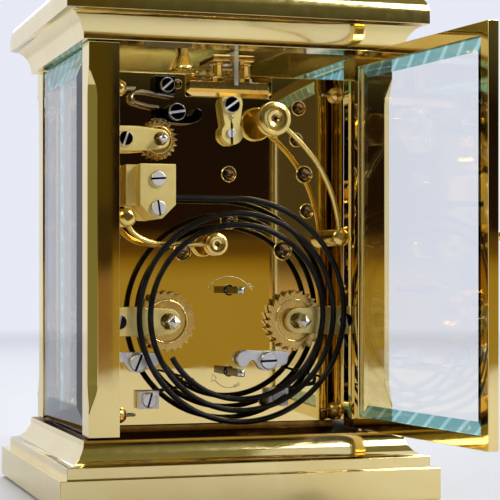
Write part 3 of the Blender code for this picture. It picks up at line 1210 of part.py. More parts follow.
def add_going_train():
    intermediate = (INTERMEDIATE_X, lift(INTERMEDIATE_Z))
    centre = DIAL_CENTRE
    third = (0.0, lift(THIRD_Z))
    contrate = (0.0, lift(CONTRATE_Z))
    great_plane = great_wheel_plane(BARREL_FRONT)
    middle_plane, rear_plane, high_plane = train_plane(0.28), train_plane(0.84), train_plane(0.68)
    first = (GOING, intermediate, BARREL_TEETH, INTERMEDIATE_PINION_TEETH)
    second = (intermediate, centre, INTERMEDIATE_TEETH, CENTRE_PINION_TEETH)
    fourth = (centre, third, CENTRE_TEETH, THIRD_PINION_TEETH)
    fifth = (third, contrate, THIRD_TEETH, CONTRATE_PINION_TEETH)
    add_barrel("going", GOING, BARREL_FRONT, wheel_outline(*first))
    stages = [
        ("intermediate_wheel", intermediate, (first, great_plane), (second, rear_plane)),
        ("centre_wheel", centre, (second, rear_plane), (fourth, middle_plane)),
        ("third_wheel", third, (fourth, middle_plane), (fifth, high_plane)),
    ]
    for name, place, (driver, pinion_plane), (driven, wheel_plane) in stages:
        pinion = pinion_at(pinion_outline(*driver), pinion_plane)
        wheel = wheel_at(wheel_outline(*driven), wheel_plane)
        pivot = (place[0], wheel_plane, place[1])
        add_part(name, train_arbor(place, pinion, wheel), "gilt_brass", pivot)
    pinion = pinion_at(pinion_outline(*fifth), high_plane)
    tips = ESCAPE_Y + ESCAPE_PINION_RADIUS + RUN_GAP
    x, z = contrate
    root = tips + CONTRATE_TOOTH
    rear = root + CONTRATE_RIM
    hub, outer, inner = TRAIN_ARBOR_RADIUS / 2, CONTRATE_RADIUS, CONTRATE_RADIUS - CONTRATE_RIM
    sections = []
    for i in range(2 * CONTRATE_TEETH):
        angle = math.pi * i / CONTRATE_TEETH
        face = tips + (0 if i % 2 else CONTRATE_TOOTH / 2)
        section = ((hub, rear), (outer, rear), (outer, face), (inner, face), (inner, root), (hub, root))
        sections.append([(x + r * math.cos(angle), y, z + r * math.sin(angle)) for r, y in section])
    crown = loft(sections, ring_closed=True)
    add_part("contrate_wheel", train_arbor(contrate, pinion, crown), "gilt_brass", (x, tips, z))


def add_strike_train():
    second = (STRIKE_WHEEL_X, lift(STRIKE_WHEEL_Z))
    pins = (PIN_WHEEL_X, lift(PIN_WHEEL_Z))
    fly = (FLY_X, lift(FLY_Z))
    great_plane = great_wheel_plane(STRIKE_BARREL_FRONT)
    middle_plane, rear_plane = train_plane(0.38), train_plane(0.8)
    first = (STRIKE, second, BARREL_TEETH, STRIKE_WHEEL_PINION_TEETH)
    middle = (second, pins, STRIKE_WHEEL_TEETH, PIN_WHEEL_PINION_TEETH)
    last = (pins, fly, PIN_WHEEL_TEETH, FLY_PINION_TEETH)
    add_barrel("strike", STRIKE, STRIKE_BARREL_FRONT, wheel_outline(*first))
    pinion = pinion_at(pinion_outline(*first), great_plane)
    wheel = wheel_at(wheel_outline(*middle), rear_plane)
    arbor = train_arbor(second, pinion, wheel)
    add_part("strike_wheel", arbor, "gilt_brass", (second[0], rear_plane, second[1]))
    pinion = pinion_at(pinion_outline(*middle), rear_plane)
    wheel = wheel_at(wheel_outline(*last), middle_plane)
    circle = 0.62 * pair_module(*last) * PIN_WHEEL_TEETH / 2
    studs = []
    for i in range(PIN_COUNT):
        x, z = polar(pins, circle, 2 * math.pi * i / PIN_COUNT)
        end = middle_plane + WHEEL_THICKNESS / 2 + PIN_LENGTH
        studs.append(rod(PIN_RADIUS, (x, 0, z), middle_plane, end, "Y", 6))
    arbor = train_arbor(pins, pinion, fuse(wheel, *studs))
    add_part("pin_wheel", arbor, "gilt_brass", (pins[0], middle_plane, pins[1]))
    pinion = pinion_at(pinion_outline(*last), middle_plane)
    x, z = fly
    half = FLY_BLADE_THICKNESS / 2
    blade_front = train_plane(0.55)
    blade_rear = blade_front + FLY_BLADE_LENGTH
    blade = box((x - half, blade_front, z - FLY_BLADE), (x + half, blade_rear, z + FLY_BLADE))
    add_part("fly", train_arbor(fly, pinion, blade), "gilt_brass", (x, middle_plane, z))


def add_alarm_barrel():
    x, z = ALARM
    rear = ARBOR_REAR - RUN_GAP
    front = rear - ALARM_BARREL_LENGTH
    flange = ALARM_BARREL_RADIUS + ALARM_BARREL_FLANGE
    inner = ALARM_ARBOR_RADIUS + RUN_GAP
    profile = [(inner, front), (flange, front), (flange, front + ALARM_BARREL_FLANGE)]
    profile += [(ALARM_BARREL_RADIUS, front + ALARM_BARREL_FLANGE), (ALARM_BARREL_RADIUS, rear)]
    drum = turned(profile + [(inner, rear)], (x, 0, z), "Y", 28, ring_closed=True)
    add_part("alarm_barrel", drum, "gilt_brass", (x, front, z))


def add_contrate_cock():
    """A cock that narrows to a split eye, cut flat where it meets the underside of the platform."""
    high, low = (0.0, lift(CONTRATE_COCK_HIGH)), (0.0, lift(CONTRATE_Z))
    front = BACK_PLATE_REAR + SEAT_GAP
    rear = front + CONTRATE_COCK_THICKNESS
    ceiling = lift(PLATFORM_UNDERSIDE) - SEAT_GAP
    flat = math.asin((ceiling - high[1]) / CONTRATE_COCK_HIGH_RADIUS)
    dip = math.radians(15)
    outline = arc(high, CONTRATE_COCK_HIGH_RADIUS, -dip, flat, 4)
    outline += arc(high, CONTRATE_COCK_HIGH_RADIUS, math.pi - flat, math.pi + dip, 4)
    outline += arc(low, CONTRATE_COCK_LOW_RADIUS, math.radians(135), math.radians(405), 16)
    half = CONTRATE_COCK_SPLIT / 2
    top = low[1] + CONTRATE_COCK_LOW_RADIUS
    split = box((-half, front - OVERLAP, low[1] - 2 * CONTRATE_COCK_LOW_RADIUS), (half, rear + OVERLAP, top))
    add_part("contrate_cock", cut(prism(outline, front, rear), split), "frosted_brass")


def add_platform():
    """The platform lies in the notches of both plates and carries the balance and the escape wheel."""
    half = PLATFORM_WIDTH / 2
    bed_low = lift(PLATFORM_UNDERSIDE)
    bed_high = bed_low + PLATFORM_BED
    front = FRONT_PLATE_FRONT - PLATFORM_OVERHANG
    inset = PLATFORM_PLATE_INSET
    rings = []
    for cut_in, z in ((PLATFORM_BED_BEVEL, bed_low), (0, bed_low + PLATFORM_BED / 2), (inset, bed_high)):
        x, ends = half - cut_in, (front + cut_in, PLATFORM_REAR - cut_in / 4)
        rings.append([(x, ends[1], z), (-x, ends[1], z), (-x, ends[0], z), (x, ends[0], z)])
    bed = loft(rings)
    plate = box(
        (-half + inset, front + inset, bed_high - SEAT_GAP),
        (half - inset, PLATFORM_REAR - inset / 4, PLATFORM_TOP),
    )
    centre = (0, ESCAPE_Y, 0)
    bore = rod(ESCAPE_ARBOR_RADIUS + RUN_GAP, centre, bed_low - OVERLAP, PLATFORM_TOP + OVERLAP, "Z", 12)
    add_part("platform", cut(fuse(bed, plate), bore), "gilt_brass")
    add_platform_cock()
    add_balance()
    add_escape_wheel(bed_low)
    add_index()


def add_platform_cock():
    post_y = PLATFORM_REAR - PLATFORM_POST_SETBACK
    low, high = PLATFORM_TOP + SEAT_GAP, PLATFORM_TOP + COCK_RISE
    half = PLATFORM_COCK_WIDTH / 2
    rear = post_y + PLATFORM_POST_RADIUS + OVERLAP
    front = BALANCE_Y - BALANCE_STAFF_RADIUS * 4
    bridge = box((BALANCE_X - half, front, high), (BALANCE_X + half, rear, COCK_TOP))
    posts = []
    for side in (-1, 1):
        centre = (BALANCE_X + side * PLATFORM_POST_SPREAD / 2, post_y, 0)
        foot = 1.25 * PLATFORM_POST_RADIUS
        waist = PLATFORM_POST_RADIUS
        profile = [(foot, low), (foot, low + 0.15 * COCK_RISE), (waist, low + 0.25 * COCK_RISE)]
        profile += [(waist, high - 0.15 * COCK_RISE), (foot, high - 0.05 * COCK_RISE)]
        posts.append(turned(profile + [(foot, high + SEAT_GAP)], centre, "Z", 12))
    add_part("platform_cock", fuse(bridge, *posts), "gilt_brass")


def add_balance():
    low = PLATFORM_TOP + BALANCE_RISE
    high = low + BALANCE_DEPTH
    inner = BALANCE_RADIUS - BALANCE_RIM
    centre = (BALANCE_X, BALANCE_Y, 0)
    profile = [(inner, low), (BALANCE_RADIUS, low), (BALANCE_RADIUS, high), (inner, high)]
    rim = turned(profile, centre, "Z", 32, ring_closed=True)
    half = BALANCE_ARM_WIDTH / 2
    reach = BALANCE_RADIUS - BALANCE_RIM / 2
    level = (low + high) / 2
    arm = box(
        (BALANCE_X - reach, BALANCE_Y - half, low + BALANCE_DEPTH / 4),
        (BALANCE_X + reach, BALANCE_Y + half, level),
    )
    staff_top = PLATFORM_TOP + COCK_RISE - RUN_GAP
    staff = rod(BALANCE_STAFF_RADIUS, centre, PLATFORM_TOP + RUN_GAP, staff_top, "Z", 10)
    add_part("balance_wheel", fuse(rim, arm, staff), "gilt_brass", (BALANCE_X, BALANCE_Y, level))


def add_escape_wheel(bed_low):
    """A pointed escape wheel above the platform, on an arbor whose pinion hangs by the contrate teeth."""
    low = PLATFORM_TOP + ESCAPE_RISE
    high = low + BALANCE_DEPTH / 2
    root = 0.72 * ESCAPE_RADIUS
    rings = []
    for z in (low, high):
        ring = []
        for i in range(ESCAPE_TEETH):
            for share, radius in ((0, ESCAPE_RADIUS), (0.3, root), (0.8, root)):
                angle = 2 * math.pi * (i + share) / ESCAPE_TEETH
                ring.append((radius * math.cos(angle), ESCAPE_Y + radius * math.sin(angle), z))
        rings.append(ring)
    wheel = loft(rings)
    centre = (0, ESCAPE_Y, 0)
    pinion_top = bed_low - RUN_GAP
    arbor = rod(ESCAPE_ARBOR_RADIUS, centre, pinion_top - ESCAPE_PINION_LENGTH, high + ESCAPE_RISE, "Z", 10)
    pinion = rod(ESCAPE_PINION_RADIUS, centre, pinion_top - ESCAPE_PINION_LENGTH, pinion_top, "Z", 8)
    add_part("escape_wheel", fuse(wheel, arbor, pinion), "bright_steel", (0, ESCAPE_Y, low))


def add_index():
    """A steel regulator index over the balance, bent down behind the platform."""
    low = COCK_TOP + SEAT_GAP
    high = low + INDEX_THICKNESS
    rear = PLATFORM_REAR + RUN_GAP + INDEX_THICKNESS
    half = INDEX_WIDTH / 2
    eye = rod(INDEX_EYE_RADIUS, (BALANCE_X, BALANCE_Y, 0), low, high, "Z", 18)
    arm = box((BALANCE_X - half, BALANCE_Y, low), (BALANCE_X + half, rear, high))
    drop = box(
        (BALANCE_X - half, rear - INDEX_THICKNESS, high - INDEX_DROP),
        (BALANCE_X + half, rear, high - INDEX_THICKNESS / 4),
    )
    add_part("regulator_index", fuse(eye, arm, drop), "bright_steel", (BALANCE_X, BALANCE_Y, low))


clear_scene()
add_case()
add_door()
add_handle()
add_repeat_button()
add_plates()
add_windings()
add_clicks()
add_click_springs()
add_gong()
add_hammers()
add_setting_work()
add_dial_and_hands()
add_going_train()
add_strike_train()
add_alarm_barrel()
add_contrate_cock()
add_platform()
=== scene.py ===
import json
import math

import bpy
from mathutils import Matrix, Vector


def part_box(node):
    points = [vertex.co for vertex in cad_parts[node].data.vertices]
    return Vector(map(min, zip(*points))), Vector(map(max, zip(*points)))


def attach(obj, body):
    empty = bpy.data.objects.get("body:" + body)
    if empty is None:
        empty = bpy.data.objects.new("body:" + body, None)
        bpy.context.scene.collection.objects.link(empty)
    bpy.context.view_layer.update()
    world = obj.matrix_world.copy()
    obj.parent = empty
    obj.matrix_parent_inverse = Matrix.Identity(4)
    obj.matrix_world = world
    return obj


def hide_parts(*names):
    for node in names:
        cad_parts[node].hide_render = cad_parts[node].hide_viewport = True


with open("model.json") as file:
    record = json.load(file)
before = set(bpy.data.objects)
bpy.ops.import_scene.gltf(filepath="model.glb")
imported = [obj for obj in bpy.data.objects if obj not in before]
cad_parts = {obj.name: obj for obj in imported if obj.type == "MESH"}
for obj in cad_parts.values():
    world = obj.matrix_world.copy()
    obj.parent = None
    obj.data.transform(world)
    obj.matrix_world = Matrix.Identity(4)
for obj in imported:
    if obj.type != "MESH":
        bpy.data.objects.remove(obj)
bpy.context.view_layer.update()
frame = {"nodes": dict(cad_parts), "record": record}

mm = 0.001
baseTop = 0.0175  # top of the moulded base
plateRear = 0.0198  # polished face of the back plate

nodeSlot = {part["node"]: part["material_slot"] for part in frame["record"]["subparts"]}
nodeBody = {}
for bodyName, members in frame["record"]["behaviour"]["bodies"].items():
    for member in members:
        nodeBody[member] = bodyName


# a place behind the back plate: millimetres across, above the base and off the plate
def spot(x, z, off):
    return Vector((x * mm, plateRear + off * mm, baseTop + z * mm))


def pickNothing():
    if bpy.context.mode != "OBJECT":
        bpy.ops.object.mode_set(mode="OBJECT")
    bpy.ops.object.select_all(action="DESELECT")


def makeActive(piece):
    pickNothing()
    piece.select_set(True)
    bpy.context.view_layer.objects.active = piece


def settle(piece):
    makeActive(piece)
    bpy.ops.object.transform_apply(location=True, rotation=True, scale=True)


def pickFaces(piece, test):
    makeActive(piece)
    bpy.ops.object.mode_set(mode="EDIT")
    bpy.ops.mesh.select_mode(type="FACE")
    bpy.ops.mesh.select_all(action="DESELECT")
    bpy.ops.object.mode_set(mode="OBJECT")
    for face in piece.data.polygons:
        face.select = test(face.center, face.normal)
    bpy.ops.object.mode_set(mode="EDIT")


def editAll(piece):
    makeActive(piece)
    bpy.ops.object.mode_set(mode="EDIT")
    bpy.ops.mesh.select_all(action="SELECT")


def applyModifier(piece, modifier):
    makeActive(piece)
    bpy.ops.object.modifier_apply(modifier=modifier.name)


# smooth shading whose flats stay flat: the normals lean towards the large faces
def smoothEdges(piece, degrees=34):
    makeActive(piece)
    bpy.ops.object.shade_smooth_by_angle(angle=math.radians(degrees))
    modifier = piece.modifiers.new("evenShade", "WEIGHTED_NORMAL")
    modifier.keep_sharp = True
    modifier.weight = 90
    applyModifier(piece, modifier)


def softenEdges(piece, width, segments=2, degrees=38, rim=-1, unit=mm):
    modifier = piece.modifiers.new("softEdge", "BEVEL")
    modifier.width = width * unit
    modifier.segments = segments
    modifier.limit_method = "ANGLE"
    modifier.angle_limit = math.radians(degrees)
    modifier.use_clamp_overlap = False
    modifier.material = rim
    modifier.miter_outer = "MITER_ARC"
    applyModifier(piece, modifier)


def roundEdges(piece, width):
    softenEdges(piece, width)
    smoothEdges(piece)


def carve(piece, cutter, operation="DIFFERENCE"):
    modifier = piece.modifiers.new("carve", "BOOLEAN")
    modifier.operation = operation
    modifier.solver = "EXACT"
    modifier.object = cutter
    applyModifier(piece, modifier)
    bpy.data.objects.remove(cutter, do_unlink=True)


def addBlock(low, high):
    pickNothing()
    middle = [(a + b) / 2 for a, b in zip(low, high)]
    bpy.ops.mesh.primitive_cube_add(size=1, location=middle)
    block = bpy.context.object
    block.scale = [b - a for a, b in zip(low, high)]
    settle(block)
    return block


# pulls the picked face up ring by ring: each ring is (size across, size deep, height)
def pullRings(piece, rings):
    bpy.ops.object.mode_set(mode="EDIT")
    bpy.ops.mesh.select_mode(type="FACE")
    bpy.ops.mesh.select_all(action="SELECT")
    wide, deep, height = rings[0]
    for nextWide, nextDeep, nextHeight in rings[1:]:
        bpy.ops.mesh.extrude_region_move(TRANSFORM_OT_translate={"value": (0, 0, nextHeight - height)})
        share = (nextWide / wide, nextDeep / deep, 1)
        bpy.ops.transform.resize(value=share, center_override=(0, 0, nextHeight))
        wide, deep, height = nextWide, nextDeep, nextHeight
    bpy.ops.mesh.select_all(action="SELECT")
    bpy.ops.mesh.normals_make_consistent(inside=False)
    bpy.ops.object.mode_set(mode="OBJECT")
    return piece


# a turned piece on +Z from (radius, height) pairs
def turnUp(profile, steps=40):
    pickNothing()
    radius, height = profile[0]
    place = (0, 0, height)
    bpy.ops.mesh.primitive_circle_add(vertices=steps, radius=radius, fill_type="NGON", location=place)
    piece = bpy.context.object
    settle(piece)
    return pullRings(piece, [(r, r, z) for r, z in profile])


# a rectangular moulding on +Z from (half width, half depth, height) in millimetres
def mouldUp(stations):
    pickNothing()
    rings = [(x * mm, y * mm, z * mm) for x, y, z in stations]
    bpy.ops.mesh.primitive_plane_add(size=2, location=(0, 0, rings[0][2]))
    piece = bpy.context.object
    piece.scale = (rings[0][0], rings[0][1], 1)
    settle(piece)
    return pullRings(piece, rings)


# a round wire along points in metres
def drawWire(paths, radius, roundness=4):
    pickNothing()
    bpy.ops.curve.primitive_bezier_curve_add()
    line = bpy.context.object
    curve = line.data
    curve.splines.clear()
    curve.dimensions = "3D"
    curve.bevel_depth = radius * mm
    curve.bevel_resolution = roundness
    curve.use_fill_caps = True
    for points in paths:
        spline = curve.splines.new("POLY")
        spline.points.add(len(points) - 1)
        for knot, point in zip(spline.points, points):
            knot.co = (*point, 1)
    makeActive(line)
    bpy.ops.object.convert(target="MESH")
    line = bpy.context.object
    editAll(line)
    bpy.ops.mesh.remove_doubles(threshold=0.0005 * mm)
    bpy.ops.mesh.normals_make_consistent(inside=False)
    bpy.ops.object.mode_set(mode="OBJECT")
    smoothEdges(line, 50)
    return line


# a closed outline with more points between the given ones, on smooth curves
def roundOut(points, between=4):
    smooth = []
    count = len(points)
    for i in range(count):
        a, b, c, d = (Vector(points[(i + k) % count]) for k in (-1, 0, 1, 2))
        for j in range(between):
            t = j / between
            bend = (2 * a - 5 * b + 4 * c - d) * t * t + (3 * b - a - 3 * c + d) * t * t * t
            smooth.append(b + 0.5 * ((c - a) * t + bend))
    return smooth


# a flat plate on +Z cut to an outline of (across, up) points
def cutPlate(points, thick):
    pickNothing()
    bpy.ops.curve.primitive_bezier_circle_add()
    line = bpy.context.object
    curve = line.data
    curve.splines.clear()
    curve.dimensions = "2D"
    curve.fill_mode = "BOTH"
    curve.extrude = thick / 2
    spline = curve.splines.new("POLY")
    spline.points.add(len(points) - 1)
    spline.use_cyclic_u = True
    for knot, (x, z) in zip(spline.points, points):
        knot.co = (x, -z, 0, 1)
    makeActive(line)
    bpy.ops.object.convert(target="MESH")
    plate = bpy.context.object
    editAll(plate)
    bpy.ops.mesh.remove_doubles(threshold=thick * 0.001)
    bpy.ops.mesh.dissolve_limited(angle_limit=math.radians(0.5))
    bpy.ops.mesh.normals_make_consistent(inside=False)
    bpy.ops.transform.translate(value=(0, 0, thick / 2))
    bpy.ops.object.mode_set(mode="OBJECT")
    return plate


def dressUp(piece, name, finish, body, stands=None):
    piece.name = name
    piece.data.name = name
    parts = [face.material_index for face in piece.data.polygons]
    piece.data.materials.clear()
    for item in finish if isinstance(finish, list) else [finish]:
        piece.data.materials.append(item)
    piece.data.polygons.foreach_set("material_index", [min(i, len(piece.data.materials) - 1) for i in parts])
    if stands:
        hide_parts(stands)
    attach(piece, body)
    return piece


aims = {
    "up": Matrix.Identity(4),
    "rear": Matrix.Rotation(-math.pi / 2, 4, "X"),
    "left": Matrix.Rotation(-math.pi / 2, 4, "Y"),
    "right": Matrix.Rotation(math.pi / 2, 4, "Y"),
}


# a shape that repeats is modelled once, with its axis on +Z, and copied with its own mesh
def placeCopy(master, name, place, size, finish, body, turn=0.0, facing="rear", stands=None):
    piece = bpy.data.objects.new(name, master.data.copy())
    bpy.context.scene.collection.objects.link(piece)
    spin = Matrix.Rotation(math.radians(turn), 4, "Z")
    piece.data.transform(Matrix.Translation(place) @ aims[facing] @ spin @ Matrix.Scale(size * mm, 4))
    return dressUp(piece, name, finish, body, stands)


def retire(master):
    bpy.data.objects.remove(master, do_unlink=True)


# materials

def nodeTree(name):
    material = bpy.data.materials.new(name)
    material.use_nodes = True
    tree = material.node_tree
    return material, tree, tree.nodes["Principled BSDF"]


def noiseOn(tree, scale, detail, stretch=(1, 1, 1)):
    place = tree.nodes.new("ShaderNodeTexCoord")
    mapping = tree.nodes.new("ShaderNodeMapping")
    mapping.inputs["Scale"].default_value = stretch
    noise = tree.nodes.new("ShaderNodeTexNoise")
    noise.inputs["Scale"].default_value = scale
    noise.inputs["Detail"].default_value = detail
    tree.links.new(place.outputs["Object"], mapping.inputs["Vector"])
    tree.links.new(mapping.outputs["Vector"], noise.inputs["Vector"])
    return noise.outputs["Fac"]


def spreadTo(tree, source, low, high, target, start=0.3, end=0.7):
    reach = tree.nodes.new("ShaderNodeMapRange")
    reach.inputs["From Min"].default_value = start
    reach.inputs["From Max"].default_value = end
    reach.inputs["To Min"].default_value = low
    reach.inputs["To Max"].default_value = high
    tree.links.new(source, reach.inputs["Value"])
    tree.links.new(reach.outputs["Result"], target)


def mixTones(tree, first, second):
    tone = tree.nodes.new("ShaderNodeMix")
    tone.data_type = "RGBA"
    tone.inputs["A"].default_value = (*first, 1)
    tone.inputs["B"].default_value = (*second, 1)
    return tone


bumpDepth = 0.02 * mm


def metalFinish(name, look):
    material, tree, shader = nodeTree(name)
    stretch = look.get("stretch", (1, 1, 1))
    shader.inputs["Metallic"].default_value = 1.0
    shader.inputs["Specular Tint"].default_value = (*look.get("rim", (1, 1, 1)), 1)
    tone = mixTones(tree, look["bright"], look["deep"])
    spreadTo(tree, noiseOn(tree, look["patch"], 4), 0.0, 1.0, tone.inputs["Factor"])
    tree.links.new(tone.outputs["Result"], shader.inputs["Base Color"])
    wear = noiseOn(tree, look["wear"], 5, stretch)
    spreadTo(tree, wear, look["gloss"][0], look["gloss"][1], shader.inputs["Roughness"])
    bump = tree.nodes.new("ShaderNodeBump")
    bump.inputs["Strength"].default_value = look["bump"]
    bump.inputs["Distance"].default_value = bumpDepth
    tree.links.new(noiseOn(tree, look["grain"], 3, stretch), bump.inputs["Height"])
    tree.links.new(bump.outputs["Normal"], shader.inputs["Normal"])
    return material


metalLooks = {
    "polishedBrass": {
        "bright": (0.93, 0.75, 0.34), "deep": (0.87, 0.67, 0.27), "patch": 45, "wear": 220,
        "gloss": (0.03, 0.075), "grain": 700, "bump": 0.006,
    },
    "caseBrass": {
        "bright": (0.93, 0.77, 0.38), "deep": (0.87, 0.69, 0.30), "patch": 60, "wear": 400,
        "gloss": (0.08, 0.14), "grain": 1500, "bump": 0.03,
    },
    "mirrorPlate": {
        "bright": (0.93, 0.735, 0.32), "deep": (0.90, 0.69, 0.27), "patch": 30, "wear": 160,
        "gloss": (0.015, 0.04), "grain": 260, "bump": 0.004,
    },
    "shadowBrass": {
        "bright": (0.34, 0.22, 0.07), "deep": (0.22, 0.12, 0.035), "patch": 500, "wear": 900,
        "stretch": (1, 8, 8), "gloss": (0.10, 0.20), "grain": 1500, "bump": 0.05, "rim": (0.42, 0.25, 0.09),
    },
    "satinBrass": {
        "bright": (0.90, 0.745, 0.31), "deep": (0.83, 0.66, 0.24), "patch": 260, "wear": 1400,
        "stretch": (1, 1, 5), "gloss": (0.40, 0.48), "grain": 3200, "bump": 0.08,
    },
    "gildedWheel": {
        "bright": (0.88, 0.63, 0.23), "deep": (0.80, 0.52, 0.15), "patch": 140, "wear": 700,
        "gloss": (0.22, 0.30), "grain": 2600, "bump": 0.02,
    },
    "turnedGilt": {
        "bright": (0.90, 0.70, 0.25), "deep": (0.82, 0.60, 0.18), "patch": 120, "wear": 600,
        "gloss": (0.15, 0.20), "grain": 2200, "bump": 0.006,
    },
    # a dark mottled brass for the platform's rear edge: painted shade
    "mottledEdgeShade": {
        "bright": (0.40, 0.29, 0.09), "deep": (0.12, 0.08, 0.02), "patch": 1500, "wear": 1500,
        "gloss": (0.24, 0.40), "grain": 2600, "bump": 0.20,
    },
    "brightGilt": {
        "bright": (0.95, 0.70, 0.28), "deep": (0.88, 0.58, 0.19), "patch": 300, "wear": 900,
        "gloss": (0.08, 0.16), "grain": 2600, "bump": 0.03,
    },
    # a darker brown brass for the sink dishes and the hammer faces' pits: painted shade in the hollows
    "hollowShadeBrass": {
        "bright": (0.44, 0.27, 0.10), "deep": (0.28, 0.15, 0.05), "patch": 500, "wear": 900,
        "gloss": (0.06, 0.14), "grain": 2600, "bump": 0.03,
    },
    "pivotSteel": {
        "bright": (0.20, 0.19, 0.19), "deep": (0.11, 0.10, 0.10), "patch": 600, "wear": 1600,
        "gloss": (0.05, 0.10), "grain": 3600, "bump": 0.02,
    },
    "hardenedSteel": {
        "bright": (0.10, 0.09, 0.085), "deep": (0.05, 0.045, 0.04), "patch": 300, "wear": 1600,
        "gloss": (0.08, 0.16), "grain": 3600, "bump": 0.02,
    },
    "springSteel": {
        "bright": (0.46, 0.41, 0.36), "deep": (0.32, 0.27, 0.22), "patch": 300, "wear": 1600,
        "gloss": (0.10, 0.18), "grain": 3600, "bump": 0.02,
    },
    "brightSteel": {
        "bright": (0.88, 0.88, 0.95), "deep": (0.79, 0.79, 0.86), "patch": 300, "wear": 1600,
        "stretch": (1, 1, 3), "gloss": (0.34, 0.46), "grain": 3600, "bump": 0.05,
    },
    "polishedSteel": {
        "bright": (0.72, 0.71, 0.72), "deep": (0.60, 0.59, 0.60), "patch": 300, "wear": 1600,
        "gloss": (0.05, 0.12), "grain": 3600, "bump": 0.02,
    },
    "bluedSteel": {
        "bright": (0.034, 0.034, 0.048), "deep": (0.016, 0.016, 0.024), "patch": 260, "wear": 1200,
        "gloss": (0.08, 0.16), "grain": 2600, "bump": 0.03,
    },
    "blackGong": {
        "bright": (0.026, 0.025, 0.028), "deep": (0.013, 0.012, 0.014), "patch": 220, "wear": 900,
        "gloss": (0.28, 0.42), "grain": 2200, "bump": 0.08,
    },
    "engravedLine": {
        "bright": (0.95, 0.85, 0.56), "deep": (0.88, 0.76, 0.46), "patch": 900, "wear": 2000,
        "gloss": (0.42, 0.55), "grain": 5000, "bump": 0.1,
    },
}
finishes = {name: metalFinish(name, look) for name, look in metalLooks.items()}


glassLook = {
    "clear": (0.965, 0.98, 0.985), "edge": (0.02, 0.10, 0.11), "smear": 30, "rough": (0.0, 0.012),
    # bevel is the bevels' tint; band, bands, bandShare and glow give their painted light
    "bevel": (0.045, 0.17, 0.17), "band": (0.15, 0.35, 0.34), "bands": 92, "bandShare": (0.80, 0.95),
    "glow": 0.45, "index": 1.5, "waver": 0.4,
}


def glassFinish(name, tint):
    material, tree, shader = nodeTree(name)
    shader.inputs["Base Color"].default_value = (*tint, 1)
    shader.inputs["Transmission Weight"].default_value = 1.0
    shader.inputs["IOR"].default_value = glassLook["index"]
    smear = noiseOn(tree, glassLook["smear"], 3)
    spreadTo(tree, smear, glassLook["rough"][0], glassLook["rough"][1], shader.inputs["Roughness"])
    return material


# the ground bevels get painted paler bands and a painted glow for the light that folds through the glass
def bevelFinish(name):
    material = glassFinish(name, glassLook["bevel"])
    tree = material.node_tree
    place = tree.nodes.new("ShaderNodeTexCoord")
    lean = tree.nodes.new("ShaderNodeMapping")
    lean.inputs["Scale"].default_value = (1, 1, -1)
    wave = tree.nodes.new("ShaderNodeTexWave")
    wave.bands_direction = "DIAGONAL"
    wave.inputs["Scale"].default_value = glassLook["bands"]
    wave.inputs["Distortion"].default_value = glassLook["waver"]
    tone = mixTones(tree, glassLook["bevel"], glassLook["band"])
    tree.links.new(place.outputs["Object"], lean.inputs["Vector"])
    tree.links.new(lean.outputs["Vector"], wave.inputs["Vector"])
    spreadTo(tree, wave.outputs["Fac"], 0.0, 1.0, tone.inputs["Factor"], *glassLook["bandShare"])
    shader = tree.nodes["Principled BSDF"]
    # the bands glow as well: painted light, the glass is no lamp
    shader.inputs["Emission Strength"].default_value = glassLook["glow"]
    for target in ("Base Color", "Emission Color"):
        tree.links.new(tone.outputs["Result"], shader.inputs[target])
    return material


finishes["clearGlass"] = glassFinish("clearGlass", glassLook["clear"])
finishes["edgeGlass"] = glassFinish("edgeGlass", glassLook["edge"])
finishes["bevelGlass"] = bevelFinish("bevelGlass")


glazeLooks = {
    "dialEnamel": {
        "main": (0.86, 0.85, 0.80), "cloud": (0.80, 0.79, 0.74), "patch": 60, "rough": (0.10, 0.18),
    },
    "dialBlack": {
        "main": (0.012, 0.012, 0.014), "cloud": (0.022, 0.021, 0.022), "patch": 400, "rough": (0.25, 0.4),
    },
    "rubyJewel": {
        "main": (0.42, 0.015, 0.035), "cloud": (0.30, 0.008, 0.020), "patch": 900, "rough": (0.03, 0.08),
    },
}
glazeWear = 300


def glazeFinish(name, look):
    material, tree, shader = nodeTree(name)
    tone = mixTones(tree, look["main"], look["cloud"])
    spreadTo(tree, noiseOn(tree, look["patch"], 3), 0.0, 1.0, tone.inputs["Factor"])
    tree.links.new(tone.outputs["Result"], shader.inputs["Base Color"])
    wear = noiseOn(tree, glazeWear, 2)
    spreadTo(tree, wear, look["rough"][0], look["rough"][1], shader.inputs["Roughness"])
    return material


for name, look in glazeLooks.items():
    finishes[name] = glazeFinish(name, look)
print("materials ready:", len(finishes))


# moulded base and cornice

caseLook = {
    "half": (41.0, 35.25), "ledge": 1.6, "coveOut": 5.25, "coveSteps": 16, "edge": 0.16,
    "baseTop": 17.5, "baseCove": 6.1, "baseFillet": 2.9, "plinthStep": 2.1, "plinthChamfer": 0.5,
    "seatHalf": 30.1, "seatY": (-19.3, 17.5), "seatRise": 1.7,
    "soffit": 116.7, "corniceCove": 6.9, "corniceFillet": 3.0, "corniceRound": 3.4, "top": 131.2,
    "wellHalf": (33.1, 27.35), "wellRise": 8.6, "openHalf": (20.5, 17.75), "rebateHalf": (22.3, 19.55),
    "rebateFloor": 128.7, "studY": -24.35, "studBore": 1.5, "pinAt": (-31.4, 33.85), "pinBore": 1.1,
    "pinDeep": 1.7,
}


def halfAt(out, z):
    return (caseLook["half"][0] + out, caseLook["half"][1] + out, z)


# the hollow of a cove, from the ledge out to the fillet
def coveLine(start, rise):
    steps = caseLook["coveSteps"]
    line = []
    for i in range(steps + 1):
        angle = math.pi / 2 * i / steps
        out = caseLook["ledge"] + caseLook["coveOut"] * (1 - math.cos(angle))
        line.append(halfAt(out, start + rise * math.sin(angle)))
    return line


def blockMm(low, high):
    return addBlock([c * mm for c in low], [c * mm for c in high])


def borePost(at, radius, low, high):
    drill = turnUp([(radius * mm, low * mm), (radius * mm, high * mm)], 28)
    drill.location = (at[0] * mm, at[1] * mm, 0)
    settle(drill)
    return drill


